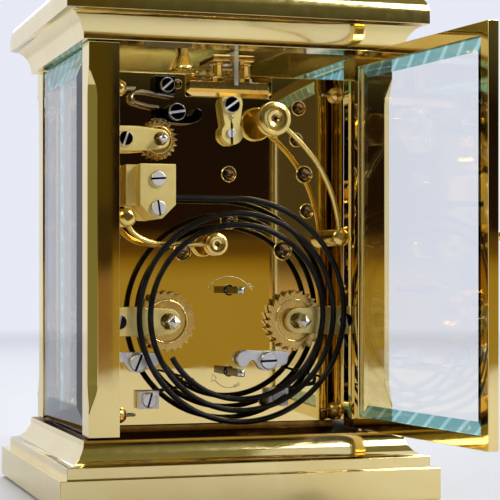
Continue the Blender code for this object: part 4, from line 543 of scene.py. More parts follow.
def buildBase():
    edge = caseLook["ledge"] + caseLook["coveOut"]
    foot = edge + caseLook["plinthStep"]
    chamfer = caseLook["plinthChamfer"]
    filletLow = caseLook["baseTop"] - caseLook["baseCove"] - caseLook["baseFillet"]
    line = [
        halfAt(foot - chamfer, 0), halfAt(foot, chamfer), halfAt(foot, filletLow), halfAt(edge, filletLow),
    ]
    base = mouldUp(line + coveLine(caseLook["baseTop"], -caseLook["baseCove"])[::-1])
    seatLow = (-caseLook["seatHalf"], caseLook["seatY"][0], caseLook["baseTop"] - 1)
    seatHigh = (caseLook["seatHalf"], caseLook["seatY"][1], caseLook["baseTop"] + caseLook["seatRise"])
    carve(base, blockMm(seatLow, seatHigh), "UNION")
    pinLow = caseLook["baseTop"] - caseLook["pinDeep"]
    carve(base, borePost(caseLook["pinAt"], caseLook["pinBore"], pinLow, caseLook["baseTop"] + 0.5))
    roundEdges(base, caseLook["edge"])
    for face in base.data.polygons:
        face.material_index = int(face.center.z > baseTop - 0.05 * mm)
    coats = [finishes["caseBrass"], finishes["shadowBrass"]]
    dressUp(base, "baseMoulding", coats, "case", "base")


def buildCornice():
    edge = caseLook["ledge"] + caseLook["coveOut"]
    filletTop = caseLook["soffit"] + caseLook["corniceCove"] + caseLook["corniceFillet"]
    rise = caseLook["top"] - filletTop
    line = coveLine(caseLook["soffit"], caseLook["corniceCove"])
    for i in range(caseLook["coveSteps"] + 1):
        angle = math.pi / 2 * i / caseLook["coveSteps"]
        out = edge - caseLook["corniceRound"] * (1 - math.cos(angle))
        line.append(halfAt(out, filletTop + rise * math.sin(angle)))
    cornice = mouldUp(line)
    wellTop = caseLook["soffit"] + caseLook["wellRise"]
    hollows = [
        (caseLook["wellHalf"], caseLook["soffit"] - 1, wellTop),
        (caseLook["openHalf"], wellTop - 1, caseLook["top"] + 1),
        (caseLook["rebateHalf"], caseLook["rebateFloor"], caseLook["top"] + 1),
    ]
    for (x, y), low, high in hollows:
        carve(cornice, blockMm((-x, -y, low), (x, y, high)))
    carve(cornice, borePost((0, caseLook["studY"]), caseLook["studBore"], wellTop - 1, caseLook["top"] + 1))
    pinHigh = caseLook["soffit"] + caseLook["pinDeep"]
    carve(cornice, borePost(caseLook["pinAt"], caseLook["pinBore"], caseLook["soffit"] - 1, pinHigh))
    roundEdges(cornice, caseLook["edge"])
    dressUp(cornice, "corniceMoulding", finishes["caseBrass"], "case", "cornice")


# strips that hold the side panes, and a rail of the movement's frame under the cornice
innerTrim = {
    "stripX": (33.5, 34.3), "stripY": (16.8, 27.2), "stripGap": 0.1, "railX": 31.0, "railY": (-20.4, -19.7),
    "railZ": (111.4, 116.5), "edge": 0.15,
}


def buildInnerTrim():
    look = innerTrim
    for hand, side in (("Left", 1), ("Right", -1)):
        near, far = (side * x for x in look["stripX"])
        low = (min(near, far), look["stripY"][0], caseLook["baseTop"] + look["stripGap"])
        high = (max(near, far), look["stripY"][1], caseLook["soffit"] - look["stripGap"])
        strip = blockMm(low, high)
        roundEdges(strip, look["edge"])
        dressUp(strip, "glazingStrip" + hand, finishes["polishedBrass"], "case")
    (front, rear), (bottom, top) = look["railY"], look["railZ"]
    rail = blockMm((-look["railX"], front, bottom), (look["railX"], rear, top))
    roundEdges(rail, look["edge"])
    dressUp(rail, "frameRail", finishes["polishedBrass"], "case")


buildBase()
buildCornice()
buildInnerTrim()
print("base and cornice ready")


# CAD nodes whose shape is right: a copy gets welded, softened at its edges and finished

def copyNode(node):
    piece = bpy.data.objects.new(node + "Piece", frame["nodes"][node].data.copy())
    bpy.context.scene.collection.objects.link(piece)
    editAll(piece)
    bpy.ops.mesh.remove_doubles(threshold=0.001 * mm)
    bpy.ops.mesh.dissolve_limited(angle_limit=math.radians(0.5))
    bpy.ops.object.mode_set(mode="OBJECT")
    if piece.data.has_custom_normals:
        bpy.ops.mesh.customdata_custom_splitnormals_clear()
    return piece


def dressNode(node, finish, edge, degrees=34):
    piece = copyNode(node)
    if edge:
        softenEdges(piece, edge)
    smoothEdges(piece, degrees)
    return dressUp(piece, node + "Piece", finish, nodeBody[node], node)


nodeFinish = {
    "polishedBrass": {
        "edge": 0.18,
        "nodes": [
            "pillar_front_left", "pillar_front_right", "pillar_rear_left", "pillar_rear_right", "door_frame",
            "door_knob", "handle", "handle_post_left", "handle_post_right",
        ],
    },
    "mirrorPlate": {"edge": 0.2, "nodes": ["front_plate"]},
    "satinBrass": {"edge": 0.2, "nodes": ["going_cock", "strike_cock", "alarm_cock", "gong_block"]},
    "gildedWheel": {"edge": 0, "nodes": ["going_ratchet", "strike_ratchet", "alarm_ratchet"]},
    "brightGilt": {
        "edge": 0.08,
        "nodes": [
            "balance_wheel", "going_barrel", "strike_barrel", "alarm_barrel", "intermediate_wheel",
            "centre_wheel", "third_wheel", "contrate_wheel", "strike_wheel", "pin_wheel", "fly",
        ],
    },
    "brightSteel": {"edge": 0.12, "nodes": ["regulator_index"]},
    "polishedSteel": {"edge": 0.12, "nodes": ["going_arbor", "strike_arbor", "alarm_arbor", "escape_wheel"]},
    "bluedSteel": {"edge": 0.12, "nodes": ["minute_hand", "hour_hand", "alarm_hand"]},
    "dialEnamel": {"edge": 0.2, "nodes": ["dial"]},
}
for finishName, group in nodeFinish.items():
    for node in group["nodes"]:
        dressNode(node, finishes[finishName], group["edge"])

# the setting squares are left dark from hardening, with bright tips
setSquares = {"nodes": ["set_arbor", "alarm_set_arbor"], "edge": 0.12, "tipTilt": 0.25}
for node in setSquares["nodes"]:
    shank = dressNode(node, [finishes["hardenedSteel"], finishes["polishedSteel"]], setSquares["edge"])
    for face in shank.data.polygons:
        face.material_index = int(face.normal.y > setSquares["tipTilt"])
print("nodes dressed")


# bevelled panes: coats for the flats, the pale bevels and the dark edges; a face is coated by the way it
# faces, so the pale glowing bevel coat on faces turned up is painted light, and the dark edge coat on
# side-pane bevels turned down and sideways is painted shade
paneLook = {
    "coats": ["clearGlass", "bevelGlass", "edgeGlass"], "face": 40.75, "edge": 39.4, "uprightBevel": 8.3,
    "levelBevel": 6.0, "dialEdge": 40.6, "groove": 0.75, "doorOpen": 96.5,
}


def coatPane(piece, node, axis, upright, foot):
    panes = [finishes[name] for name in paneLook["coats"]]
    dressUp(piece, node + "Piece", panes, nodeBody[node], node)
    for face in piece.data.polygons:
        flat = abs(face.normal.dot(axis)) > 0.9995
        # up takes the pale bevel coat, painted light; down takes foot, which on the side panes is the dark
        # edge coat, painted shade
        level = 1 if face.normal.z > 0 else foot
        face.material_index = 0 if flat else level if abs(face.normal.z) > 0.05 else upright
        face.use_smooth = False


# a side pane stands nearly level with the pillars, and a broad bevel leads down to its grooved edge
def buildSidePane(node, side):
    low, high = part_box(node)
    inner = min(abs(low.x), abs(high.x))
    pane = addBlock((inner, low.y, low.z), (paneLook["edge"] * mm, high.y, high.z))
    pickFaces(pane, lambda middle, normal: normal.x > 0.9)
    groove = paneLook["groove"] * mm
    bpy.ops.mesh.inset(thickness=groove)
    rise = (paneLook["face"] - paneLook["edge"]) * mm
    bpy.ops.mesh.extrude_region_move(TRANSFORM_OT_translate={"value": (rise, 0, 0)})
    halfY = high.y - groove
    halfZ = (high.z - low.z) / 2 - groove
    share = (1, 1 - paneLook["uprightBevel"] * mm / halfY, 1 - paneLook["levelBevel"] * mm / halfZ)
    bpy.ops.transform.resize(value=share, center_override=(0, 0, (low.z + high.z) / 2))
    bpy.ops.object.mode_set(mode="OBJECT")
    for corner in pane.data.vertices:
        if abs(corner.co.y + halfY) < 0.1 * mm:
            corner.co.x = paneLook["dialEdge"] * mm
    if side < 0:
        pane.data.transform(Matrix.Scale(-1, 4, (1, 0, 0)))
        pane.data.flip_normals()
    # coats 2 and 2: the side pane's bevels facing down and sideways take the dark edge glass as painted
    # shade
    coatPane(pane, node, Vector((1, 0, 0)), 2, 2)


doorTurn = math.radians(paneLook["doorOpen"])
doorNormal = Vector((math.sin(doorTurn), -math.cos(doorTurn), 0))
paneAxis = {"glass_front": Vector((0, 1, 0)), "glass_top": Vector((0, 0, 1)), "door_glass": doorNormal}
for node, axis in paneAxis.items():
    coatPane(copyNode(node), node, axis, 0 if node == "door_glass" else 1, 1)
buildSidePane("glass_left", -1)
buildSidePane("glass_right", 1)
print("glass dressed")


# oil sinks: (across, up, radius), each a turned bush let into the back plate with a pivot in it
sinks = {
    "places": [
        (0, 67.6, 2.1), (-19.5, 85.6, 2.0), (-18.8, 77.1, 1.9), (-21.1, 67.9, 2.35), (-21.8, 58.1, 2.0),
        (0, 55.4, 2.4), (-15, 47.5, 2.6), (12.7, 47.1, 2.5), (-10.2, 7.7, 2.0), (14.0, 90.9, 1.2),
    ],
    "profile": [
        (1.0, -0.5), (1.0, 0.05), (0.95, 0.09), (0.88, 0.06), (0.83, -0.02), (0.74, -0.13), (0.62, -0.22),
        (0.50, -0.28), (0.40, -0.31), (0.36, -0.31), (0.33, -0.15), (0.29, -0.04), (0.20, 0.03),
        (0.08, 0.05),
    ],
    "lip": 0.86, "pivot": 0.37, "bed": 0.97, "depth": 0.45, "plateEdge": 0.16,
}


notchFill = {"half": (11.9, 13.9), "floor": (104.9, 105.35), "top": 111.1, "plateY": (17.5, 19.8)}


def closeNotch(plate):
    inner, outer = notchFill["half"]
    floor, bed = notchFill["floor"]
    front, rear = notchFill["plateY"]
    for low, high in ((-outer, -inner), (inner, outer)):
        carve(plate, blockMm((low, front, floor), (high, rear, notchFill["top"])), "UNION")
    carve(plate, blockMm((-outer, front, floor - 0.2), (outer, rear, bed)), "UNION")
    editAll(plate)
    bpy.ops.mesh.remove_doubles(threshold=0.02 * mm)
    bpy.ops.mesh.dissolve_limited(angle_limit=math.radians(1))
    bpy.ops.object.mode_set(mode="OBJECT")


def buildSinks():
    plate = copyNode("back_plate")
    closeNotch(plate)
    for x, z, radius in sinks["places"]:
        bedRadius = sinks["bed"] * radius * mm
        bed = turnUp([(bedRadius, 0), (bedRadius, 3 * mm)])
        bed.data.transform(Matrix.Translation(spot(x, z, -sinks["depth"] * radius)) @ aims["rear"])
        carve(plate, bed)
    roundEdges(plate, sinks["plateEdge"])
    dressUp(plate, "backPlatePiece", finishes["mirrorPlate"], "case", "back_plate")
    master = turnUp(sinks["profile"], 48)
    smoothEdges(master, 50)
    # the dish inside the lip takes the darker brass as painted shade; the pivot in its middle is steel
    for face in master.data.polygons:
        away = math.hypot(face.center.x, face.center.y)
        face.material_index = 0 if away > sinks["lip"] else 1 if away > sinks["pivot"] else 2
    coats = [finishes["polishedBrass"], finishes["hollowShadeBrass"], finishes["pivotSteel"]]
    for i, (x, z, radius) in enumerate(sinks["places"]):
        name = f"oilSink{i + 1}"
        placeCopy(master, name, spot(x, z, 0), radius, coats, "case")
    retire(master)


buildSinks()
print("back plate ready")


# slotted screws: (across, up, off the plate, radius, slot turn)
screws = {
    "profile": [
        (0.82, -0.5), (0.82, 0.0), (1.0, 0.0), (1.0, 0.42), (0.975, 0.53), (0.91, 0.61), (0.82, 0.65),
    ],
    "slot": (0.13, 0.36), "rim": 0.88,
    "steel": {
        "goingClickScrew": (25.4, 18.3, 2.4, 2.35, 68),
        "strikeClickScrew": (-10.0, 18.3, 2.4, 2.35, 2),
        "goingSpringScrew": (22.5, 8.6, 2.9, 2.0, 74),
        "strikeSpringScrew": (-12.9, 8.6, 2.9, 2.0, 30),
        "blockUpperScrew": (21.7, 65.5, 8.9, 2.0, 4),
        "blockLowerScrew": (21.6, 58.0, 8.9, 2.0, 98),
        "contrateEndScrew": (0.3, 78.1, 2.9, 1.25, 90),
    },
    "black": {
        "goingCockScrew": (30.9, 28.9, 4.6, 2.0, 80),
        "strikeCockScrew": (-30.9, 28.9, 4.6, 2.0, 100),
        "alarmCockScrew": (29.2, 75.9, 4.6, 1.95, 72),
        "alarmClickScrew": (15.0, 83.3, 2.4, 2.25, 9),
        "alarmSpringScrew": (17.7, 90.2, 2.9, 1.9, 42),
        "contrateCockScrew": (0.3, 85.6, 2.9, 2.2, 36),
    },
}


def buildScrews():
    master = turnUp(screws["profile"], 48)
    half, floor = screws["slot"]
    carve(master, addBlock((-1.3, -half, floor), (1.3, half, 1)))
    smoothEdges(master, 40)
    for face in master.data.polygons:
        inSlot = abs(face.center.y) <= half + 0.001 and floor - 0.01 <= face.center.z
        onRim = math.hypot(face.center.x, face.center.y) > screws["rim"]
        face.material_index = 1 if inSlot else 2 if onRim else 0
    # coats for the head, the slot and the rim: on the steel screws the slot is painted dark as painted
    # shade; on the black screws the slot and the rim are painted pale as painted highlights
    coats = {
        "steel": [finishes["brightSteel"], finishes["bluedSteel"], finishes["polishedSteel"]],
        "black": [finishes["bluedSteel"], finishes["brightSteel"], finishes["brightSteel"]],
    }
    for kind, like in (("steel", "going_click"), ("black", "alarm_click")):
        for name, (x, z, off, radius, turn) in screws[kind].items():
            placeCopy(master, name, spot(x, z, off), radius, coats[kind], "case", turn)
    retire(master)


buildScrews()
print("screws ready")


# clicks: outlines of (across, up) round the pivot, steel for the two large ones and black for the alarm
clicks = {
    "off": 0.6, "thick": 1.8, "rim": 0.16,
    "large": [
        (8.3, 1.3), (7.6, 2.15), (6.4, 2.65), (4.5, 2.75), (2.5, 2.6), (0.4, 2.55), (-2.5, 2.5),
        (-4.5, 2.35), (-6.1, 2.3), (-5.75, 1.1), (-5.4, -0.7), (-4.3, -1.3), (-2.9, -1.6), (-1.3, -2.4),
        (0.4, -2.65), (1.9, -2.0), (2.8, -0.8), (3.6, 0.1), (4.6, 0.15), (5.2, -0.6), (5.9, -1.4),
        (6.9, -1.6), (7.9, -1.0), (8.4, 0.2),
    ],
    "small": [
        (5.6, 1.1), (5.7, -0.4), (5.6, -1.75), (4.2, -1.8), (3.0, -2.05), (1.6, -2.75), (-0.2, -2.9),
        (-2.3, -2.95), (-4.4, -2.75), (-6.2, -1.9), (-7.2, -0.4), (-6.8, 0.65), (-5.7, 1.15), (-4.9, 0.85),
        (-4.5, 0.1), (-4.0, -0.65), (-3.2, -0.85), (-2.55, -0.2), (-2.3, 1.1), (-1.3, 2.15), (0, 2.5),
        (1.3, 2.15), (2.3, 1.2), (2.9, 0.95), (4.2, 1.05),
    ],
    "pivots": {"going_click": (25.4, 18.3), "strike_click": (-10.0, 18.3), "alarm_click": (15.0, 83.3)},
    "springBlocks": {"going_click_spring": (22.5, 8.6), "strike_click_spring": (-12.9, 8.6)},
    "blockHalf": (3.4, 2.7), "springEdge": 0.1,
}


def buildClicks():
    steel, black = finishes["brightSteel"], finishes["bluedSteel"]
    for size, main in (("large", steel), ("small", black)):
        master = cutPlate(roundOut(clicks[size]), clicks["thick"])
        softenEdges(master, clicks["rim"], 2, 40, 1, unit=1)
        smoothEdges(master, 40)
        for node, (x, z) in clicks["pivots"].items():
            if (node == "alarm_click") == (size == "small"):
                # the rim coat: on the black alarm click the pale bright steel, a painted highlight; on the
                # steel clicks the polished steel
                coats = [main, finishes["brightSteel" if main is black else "polishedSteel"]]
                name = node.split("_")[0] + "ClickPiece"
                place = spot(x, z, clicks["off"])
                placeCopy(master, name, place, 1, coats, node, stands=node)
        retire(master)
    for node, (x, z) in clicks["springBlocks"].items():
        spring = copyNode(node)
        roundEdges(spring, clicks["springEdge"])
        halfX, halfZ = clicks["blockHalf"]
        for face in spring.data.polygons:
            aside, above = abs(face.center.x / mm - x), abs((face.center.z - baseTop) / mm - z)
            face.material_index = 0 if aside < halfX and above < halfZ else 1
        dressUp(spring, node.split("_")[0] + "SpringPiece", [steel, black], "case", node)


# the alarm click's spring: a black block and a bright hooked wire, (across, up, off the plate)
alarmSpring = {
    "low": (15.4, 0.3, 87.9), "high": (20.8, 2.9, 92.6), "wire": 0.4,
    "path": [
        (15.7, 87.4, 1.8), (19.5, 87.95, 1.8), (22.3, 88.35, 1.85), (24.2, 88.5, 1.9), (25.5, 88.35, 2.0),
        (26.4, 87.9, 2.1), (26.9, 87.15, 2.25), (26.9, 86.4, 2.4), (26.4, 85.75, 2.6), (24.9, 85.25, 2.75),
        (22.6, 84.8, 2.9), (19.9, 84.4, 2.9),
    ],
}


def buildAlarmSpring():
    low, high = alarmSpring["low"], alarmSpring["high"]
    block = addBlock(spot(low[0], low[2], low[1]), spot(high[0], high[2], high[1]))
    softenEdges(block, 0.3, 2, 38, 1)
    smoothEdges(block)
    node = "alarm_click_spring"
    # the block's bevelled rim takes the pale bright steel as a painted highlight
    coats = [finishes["bluedSteel"], finishes["brightSteel"]]
    dressUp(block, "alarmSpringBlock", coats, "case", node)
    wire = drawWire([[spot(x, z, off) for x, z, off in alarmSpring["path"]]], alarmSpring["wire"], 4)
    dressUp(wire, "alarmSpringWire", finishes["springSteel"], "case")


# the contrate cock: its lower lobe is fuller and slit up to a steady pin
contrate = {
    "axis": (0.3, 78.1), "waist": 80.6, "fuller": 1.15, "slit": 0.11, "slitTop": 81.8, "edge": 0.14,
    "pin": (0.26, 82.4, 0.6), "pinShape": [(1, -0.5), (1, 0.35), (0.9, 0.7), (0.6, 0.95), (0.2, 1.05)],
}


def buildContrateCock():
    look = contrate
    node = "contrate_cock"
    cock = copyNode(node)
    centre = spot(*look["axis"], 0)
    for corner in cock.data.vertices:
        if corner.co.z < baseTop + look["waist"] * mm:
            corner.co.x = centre.x + (corner.co.x - centre.x) * look["fuller"]
            corner.co.z = centre.z + (corner.co.z - centre.z) * look["fuller"]
    x, z = look["axis"]
    carve(cock, addBlock(spot(x - look["slit"], z - 6, 2.3), spot(x + look["slit"], look["slitTop"], 4)))
    roundEdges(cock, look["edge"])
    dressUp(cock, "contrateCockPiece", finishes["satinBrass"], "case", node)
    pin = turnUp(look["pinShape"], 24)
    smoothEdges(pin, 50)
    pinX, pinZ, radius = look["pin"]
    steel = finishes["polishedSteel"]
    placeCopy(pin, "contratePin", spot(pinX, pinZ, 3), radius, steel, "case")
    retire(pin)


buildClicks()
buildAlarmSpring()
buildContrateCock()
print("clicks and springs ready")


# domed ends of the frame pillars, each held by a taper pin that points inwards
frameEnds = {
    "places": [(30, 4.7), (-30, 4.7), (30, 89.3), (-30, 89.3)], "radius": 2.15,
    "dome": [(1.0, -0.02), (1.0, 0.25), (0.97, 0.45), (0.88, 0.68), (0.72, 0.86), (0.48, 0.98), (0.2, 1.03)],
    "pin": [(0.20, 0.4), (0.19, 1.9), (0.17, 2.0), (0.1, 2.06)], "pinOff": 1.0, "domeOff": 0.15,
}


def buildFrameEnds():
    dome = turnUp(frameEnds["dome"], 40)
    smoothEdges(dome, 50)
    pin = turnUp(frameEnds["pin"], 20)
    smoothEdges(pin, 50)
    size = frameEnds["radius"]
    for i, (x, z) in enumerate(frameEnds["places"]):
        place = spot(x, z, frameEnds["domeOff"])
        gilt, slot = finishes["gildedWheel"], nodeSlot["front_plate"]
        placeCopy(dome, f"frameDome{i + 1}", place, size, gilt, "case")
        place = spot(x, z, frameEnds["pinOff"])
        steel, slot = finishes["polishedSteel"], nodeSlot["going_click"]
        inward = "left" if x > 0 else "right"
        placeCopy(pin, f"taperPin{i + 1}", place, size, steel, "case", facing=inward)
    retire(dome)
    retire(pin)


buildFrameEnds()


# the gong: a straight run out of its block, then a spiral that tightens inwards
gongShape = {
    "wire": 0.75, "off": 7.4, "centre": (-1.0, 30.6), "radius": 28.6, "rise": 1.55, "pitch": 2.95,
    "turns": 2.665, "easeTurns": 0.25, "start": 20.9, "runSteps": 6, "steps": 260, "round": 5,
}


def buildGong():
    look = gongShape
    cx, cz = look["centre"]
    runZ = cz + look["radius"] + look["rise"]
    start, count, ease = look["start"], look["runSteps"], look["easeTurns"]
    points = [spot(start + (cx - start) * i / count, runZ, look["off"]) for i in range(count)]
    for i in range(look["steps"] + 1):
        turn = look["turns"] * i / look["steps"]
        if turn < ease:
            radius = look["radius"] + look["rise"] * (1 - turn / ease)
        else:
            radius = look["radius"] - look["pitch"] * (turn - ease)
        angle = math.pi / 2 + 2 * math.pi * turn
        points.append(spot(cx + radius * math.cos(angle), cz + radius * math.sin(angle), look["off"]))
    gong = drawWire([points], look["wire"], look["round"])
    dressUp(gong, "gongCoil", finishes["blackGong"], nodeBody["gong"], "gong")


buildGong()


# hammers: a turned head with rings on its face, a bowed arm and a hub on the arbor
hammers = {
    "arm": 0.66, "length": 3.8, "hub": 2.4, "arbor": 0.9, "arborStart": -36.5,
    "face": [
        (0.62, 0.0), (0.88, 0.0), (0.96, 0.10), (1.0, 0.22), (1.0, 0.78), (0.985, 0.86), (0.95, 0.92),
        (0.90, 0.95), (0.74, 0.985), (0.725, 0.95), (0.695, 0.95), (0.68, 1.0), (0.52, 0.985), (0.505, 0.93),
        (0.465, 0.93), (0.45, 0.97), (0.28, 0.93), (0.25, 0.92), (0.16, 0.82), (0.06, 0.80),
    ],
    "dimple": 0.23,
    "strike_hammer": {
        "head": (-9.8, 81.7), "radius": 4.5, "off": 5.9, "pivot": (-28.4, 50.9), "armOff": 7.8, "bow": 4.6,
    },
    "alarm_hammer": {
        "head": (5.5, 48.9), "radius": 3.0, "off": 4.2, "pivot": (29.0, 55.6), "armOff": 5.4, "drop": 10.0,
    },
}


def strikeArmLine(look):
    (x0, z0), (x1, z1) = look["pivot"], look["head"]
    heading = math.atan2(z1 - z0, x1 - x0) + math.pi / 2
    line = []
    for i in range(41):
        share = i / 40
        swell = 4 * look["bow"] * share * (1 - share)
        x = x0 + (x1 - x0) * share + swell * math.cos(heading)
        line.append(spot(x, z0 + (z1 - z0) * share + swell * math.sin(heading), look["armOff"]))
    return line


def alarmArmLine(look):
    (x0, z0), (x1, z1) = look["pivot"], look["head"]
    line = []
    for i in range(25):
        angle = math.pi / 2 * i / 24
        x = x0 - look["drop"] + look["drop"] * math.cos(angle)
        line.append(spot(x, z0 - (z0 - z1) * math.sin(angle), look["armOff"]))
    return line + [spot(x1, z1, look["armOff"])]


def buildHammer(node, plainName, armLine):
    look = hammers[node]
    gilt, slot = finishes["turnedGilt"], nodeSlot[node]
    length = hammers["length"] / look["radius"]
    master = turnUp([(r, z * length) for r, z in hammers["face"]], 56)
    smoothEdges(master, 28)
    # the pit in the middle of the face takes the darker brass as painted shade
    for face in master.data.polygons:
        away = math.hypot(face.center.x, face.center.y)
        face.material_index = int(away < hammers["dimple"] and face.center.z > 0.5 * length)
    coats = [gilt, finishes["hollowShadeBrass"]]
    place = spot(*look["head"], look["off"])
    placeCopy(master, plainName + "Head", place, look["radius"], coats, node, stands=node)
    retire(master)
    arm = drawWire([armLine(look)], hammers["arm"], 5)
    dressUp(arm, plainName + "Arm", gilt, node)
    hub, top = hammers["hub"], look["armOff"] + 1.5
    profile = [
        (hammers["arbor"], hammers["arborStart"]), (hammers["arbor"], 0.3), (hub, 0.3), (hub, top - 0.9),
        (0.96 * hub, top - 0.5), (0.82 * hub, top - 0.2), (0.6 * hub, top - 0.04), (0.3 * hub, top),
    ]
    master = turnUp(profile, 40)
    smoothEdges(master, 40)
    placeCopy(master, plainName + "Hub", spot(*look["pivot"], 0), 1, gilt, node)
    retire(master)


buildHammer("strike_hammer", "strikeHammer", strikeArmLine)
buildHammer("alarm_hammer", "alarmHammer", alarmArmLine)
print("gong and hammers ready")


# raised lips round the hollows of the ratchets
ratchetLips = {
    "rings": {
        "going_ratchet": (17.7, 28.9, 5.5), "strike_ratchet": (-17.7, 28.9, 5.5),
        "alarm_ratchet": (19.9, 76.0, 3.55),
    },
    "thick": 0.045, "off": 2.6,
}


def buildLips():
    for node, (x, z, radius) in ratchetLips["rings"].items():
        pickNothing()
        bpy.ops.mesh.primitive_torus_add(
            major_segments=64, minor_segments=12, major_radius=1, minor_radius=ratchetLips["thick"],
        )
        ring = bpy.context.object
        editAll(ring)
        bpy.ops.mesh.bisect(plane_co=(0, 0, -0.02), plane_no=(0, 0, 1), clear_inner=True, use_fill=True)
        bpy.ops.object.mode_set(mode="OBJECT")
        smoothEdges(ring, 50)
        name = node.split("_")[0] + "RatchetLip"
        place, brass = spot(x, z, ratchetLips["off"]), finishes["polishedBrass"]
        placeCopy(ring, name, place, radius, brass, nodeBody[node])
        retire(ring)


buildLips()


# engraved direction arrows round the two setting squares: strokes of (across, up) points
arrows = {"depth": 0.1, "width": 0.155}


def arcStroke(cx, cz, radius, start, end, steps=24):
    angles = [math.radians(start + (end - start) * i / steps) for i in range(steps + 1)]
    return [(cx + radius * math.cos(a), cz + radius * math.sin(a)) for a in angles]


# barbs on both sides of a tail that runs from start to end
def tailStrokes(start, end, barb, count=3):
    way = Vector(end) - Vector(start)
    heading = math.atan2(way.y, way.x)
    strokes = [[start, end]]
    for i in range(count):
        root = Vector(start) + way * (i + 0.6) / count
        for side in (-1, 1):
            lean = heading + side * math.radians(38)
            strokes.append([tuple(root), (root.x + barb * math.cos(lean), root.y + barb * math.sin(lean))])
    return strokes


def buildArrows():
    upper = arcStroke(0, 33.55, 7.05, 50.8, 132)
    lower = arcStroke(-0.1, 16.0, 4.78, -33, -100)
    strokes = [upper, lower]
    strokes.append([(4.28, 38.8), (5.5, 39.1), (6.0, 36.8), (4.2, 38.2)])
    strokes += tailStrokes(upper[-1], (-6.3, 37.7), 0.9)
    strokes.append([(3.9, 13.4), (4.9, 12.9), (4.47, 14.9), (3.4, 13.7)])
    strokes += tailStrokes(lower[-1], (-2.7, 12.0), 0.75)
    paths = [[spot(x, z, -arrows["depth"]) for x, z in stroke] for stroke in strokes]
    lines = drawWire(paths, arrows["width"], 2)
    dressUp(lines, "settingArrows", finishes["engravedLine"], "case")


buildArrows()
print("small hardware ready")


# escapement: cock with turned posts, a jewel, balance screws and a fine spiral spring
platformLook = {
    "bridge": ((-7.4, 5.2, 115.1), (4.0, 18.95, 116.7)), "postY": 16.6, "postX": (-5.45, 2.05),
    "post": [
        (1.8, 109.7), (1.85, 109.8), (1.85, 110.7), (1.75, 110.85), (1.5, 110.95), (1.25, 114.2),
        (1.5, 114.35), (1.6, 114.45), (1.6, 115.2),
    ],
    "postSides": 8,
    "balance": (-1.7, 7.0), "balanceRadius": 7.4, "rimZ": 112.9, "rimScrews": 14, "rimScrewSize": 0.55,
    "rimScrew": [(0.5, -0.5), (0.5, 0.2), (0.75, 0.25), (0.75, 0.85), (0.68, 1.0), (0.5, 1.05)],
    "springZ": 114.3, "springTurns": 7, "springRadii": (0.9, 4.2), "springWire": 0.07,
    "jewel": [
        (1.0, -0.1), (1.0, 0.12), (0.9, 0.2), (0.62, 0.2), (0.58, 0.1), (0.5, 0.16), (0.3, 0.2),
        (0.12, 0.16),
    ],
    "jewelBehind": 3.6, "jewelSize": 1.5, "rubyShare": 0.55,
}


def buildPlatform():
    look = platformLook
    gilt = finishes["brightGilt"]
    plate = dressNode("platform", [gilt, finishes["mottledEdgeShade"]], 0.08, 12)
    # the rear edge face takes the dark mottled brass: painted shade
    for face in plate.data.polygons:
        face.material_index = int(face.normal.y > 0.99 and face.center.y > 19 * mm)
    bridge = blockMm(*look["bridge"])
    softenEdges(bridge, 0.3, 3)
    smoothEdges(bridge)
    dressUp(bridge, "balanceCock", gilt, "case", "platform_cock")
    post = turnUp(look["post"], look["postSides"])
    editAll(post)
    flatTurn = math.pi / look["postSides"]
    bpy.ops.transform.rotate(value=flatTurn, orient_axis="Z", center_override=(0, 0, 0))
    bpy.ops.object.mode_set(mode="OBJECT")
    softenEdges(post, 0.08, 2, 30, unit=1)
    smoothEdges(post, 30)
    for hand, x in zip(("Right", "Left"), look["postX"]):
        place = Vector((x * mm, look["postY"] * mm, 0))
        placeCopy(post, "cockPost" + hand, place, 1, gilt, "case", facing="up")
    retire(post)
    jewel = turnUp(look["jewel"], 40)
    smoothEdges(jewel, 40)
    x, y = look["balance"]
    ruby = [gilt, finishes["rubyJewel"]]
    size = look["jewelSize"]
    seat = Vector((x * mm, (y + look["jewelBehind"]) * mm, look["bridge"][1][2] * mm))
    setting = placeCopy(jewel, "balanceJewel", seat, size, ruby, "case", facing="up")
    for face in setting.data.polygons:
        away = math.hypot(face.center.x - seat.x, face.center.y - seat.y)
        face.material_index = int(away < look["rubyShare"] * size * mm)
    retire(jewel)
    stud = turnUp(look["rimScrew"], 20)
    smoothEdges(stud, 40)
    for i in range(look["rimScrews"]):
        angle = 2 * math.pi * (i + 0.5) / look["rimScrews"]
        piece = bpy.data.objects.new("rimScrew", stud.data.copy())
        bpy.context.scene.collection.objects.link(piece)
        push = Matrix.Translation((look["balanceRadius"] * mm, 0, 0))
        out = Matrix.Rotation(angle, 4, "Z") @ push @ aims["right"]
        middle = Matrix.Translation((x * mm, y * mm, look["rimZ"] * mm))
        piece.data.transform(middle @ out @ Matrix.Scale(look["rimScrewSize"] * mm, 4))
        dressUp(piece, f"rimScrew{i + 1}", gilt, "balance_wheel")
    retire(stud)
    inner, outer = look["springRadii"]
    count = 40 * look["springTurns"]
    points = []
    for i in range(count + 1):
        angle = 2 * math.pi * look["springTurns"] * i / count
        radius = inner + (outer - inner) * i / count
        place = (x + radius * math.cos(angle), y + radius * math.sin(angle), look["springZ"])
        points.append(Vector(place) * mm)
    spring = drawWire([points], look["springWire"], 2)
    dressUp(spring, "balanceSpring", finishes["polishedSteel"], "balance_wheel")


buildPlatform()
print("escapement ready")


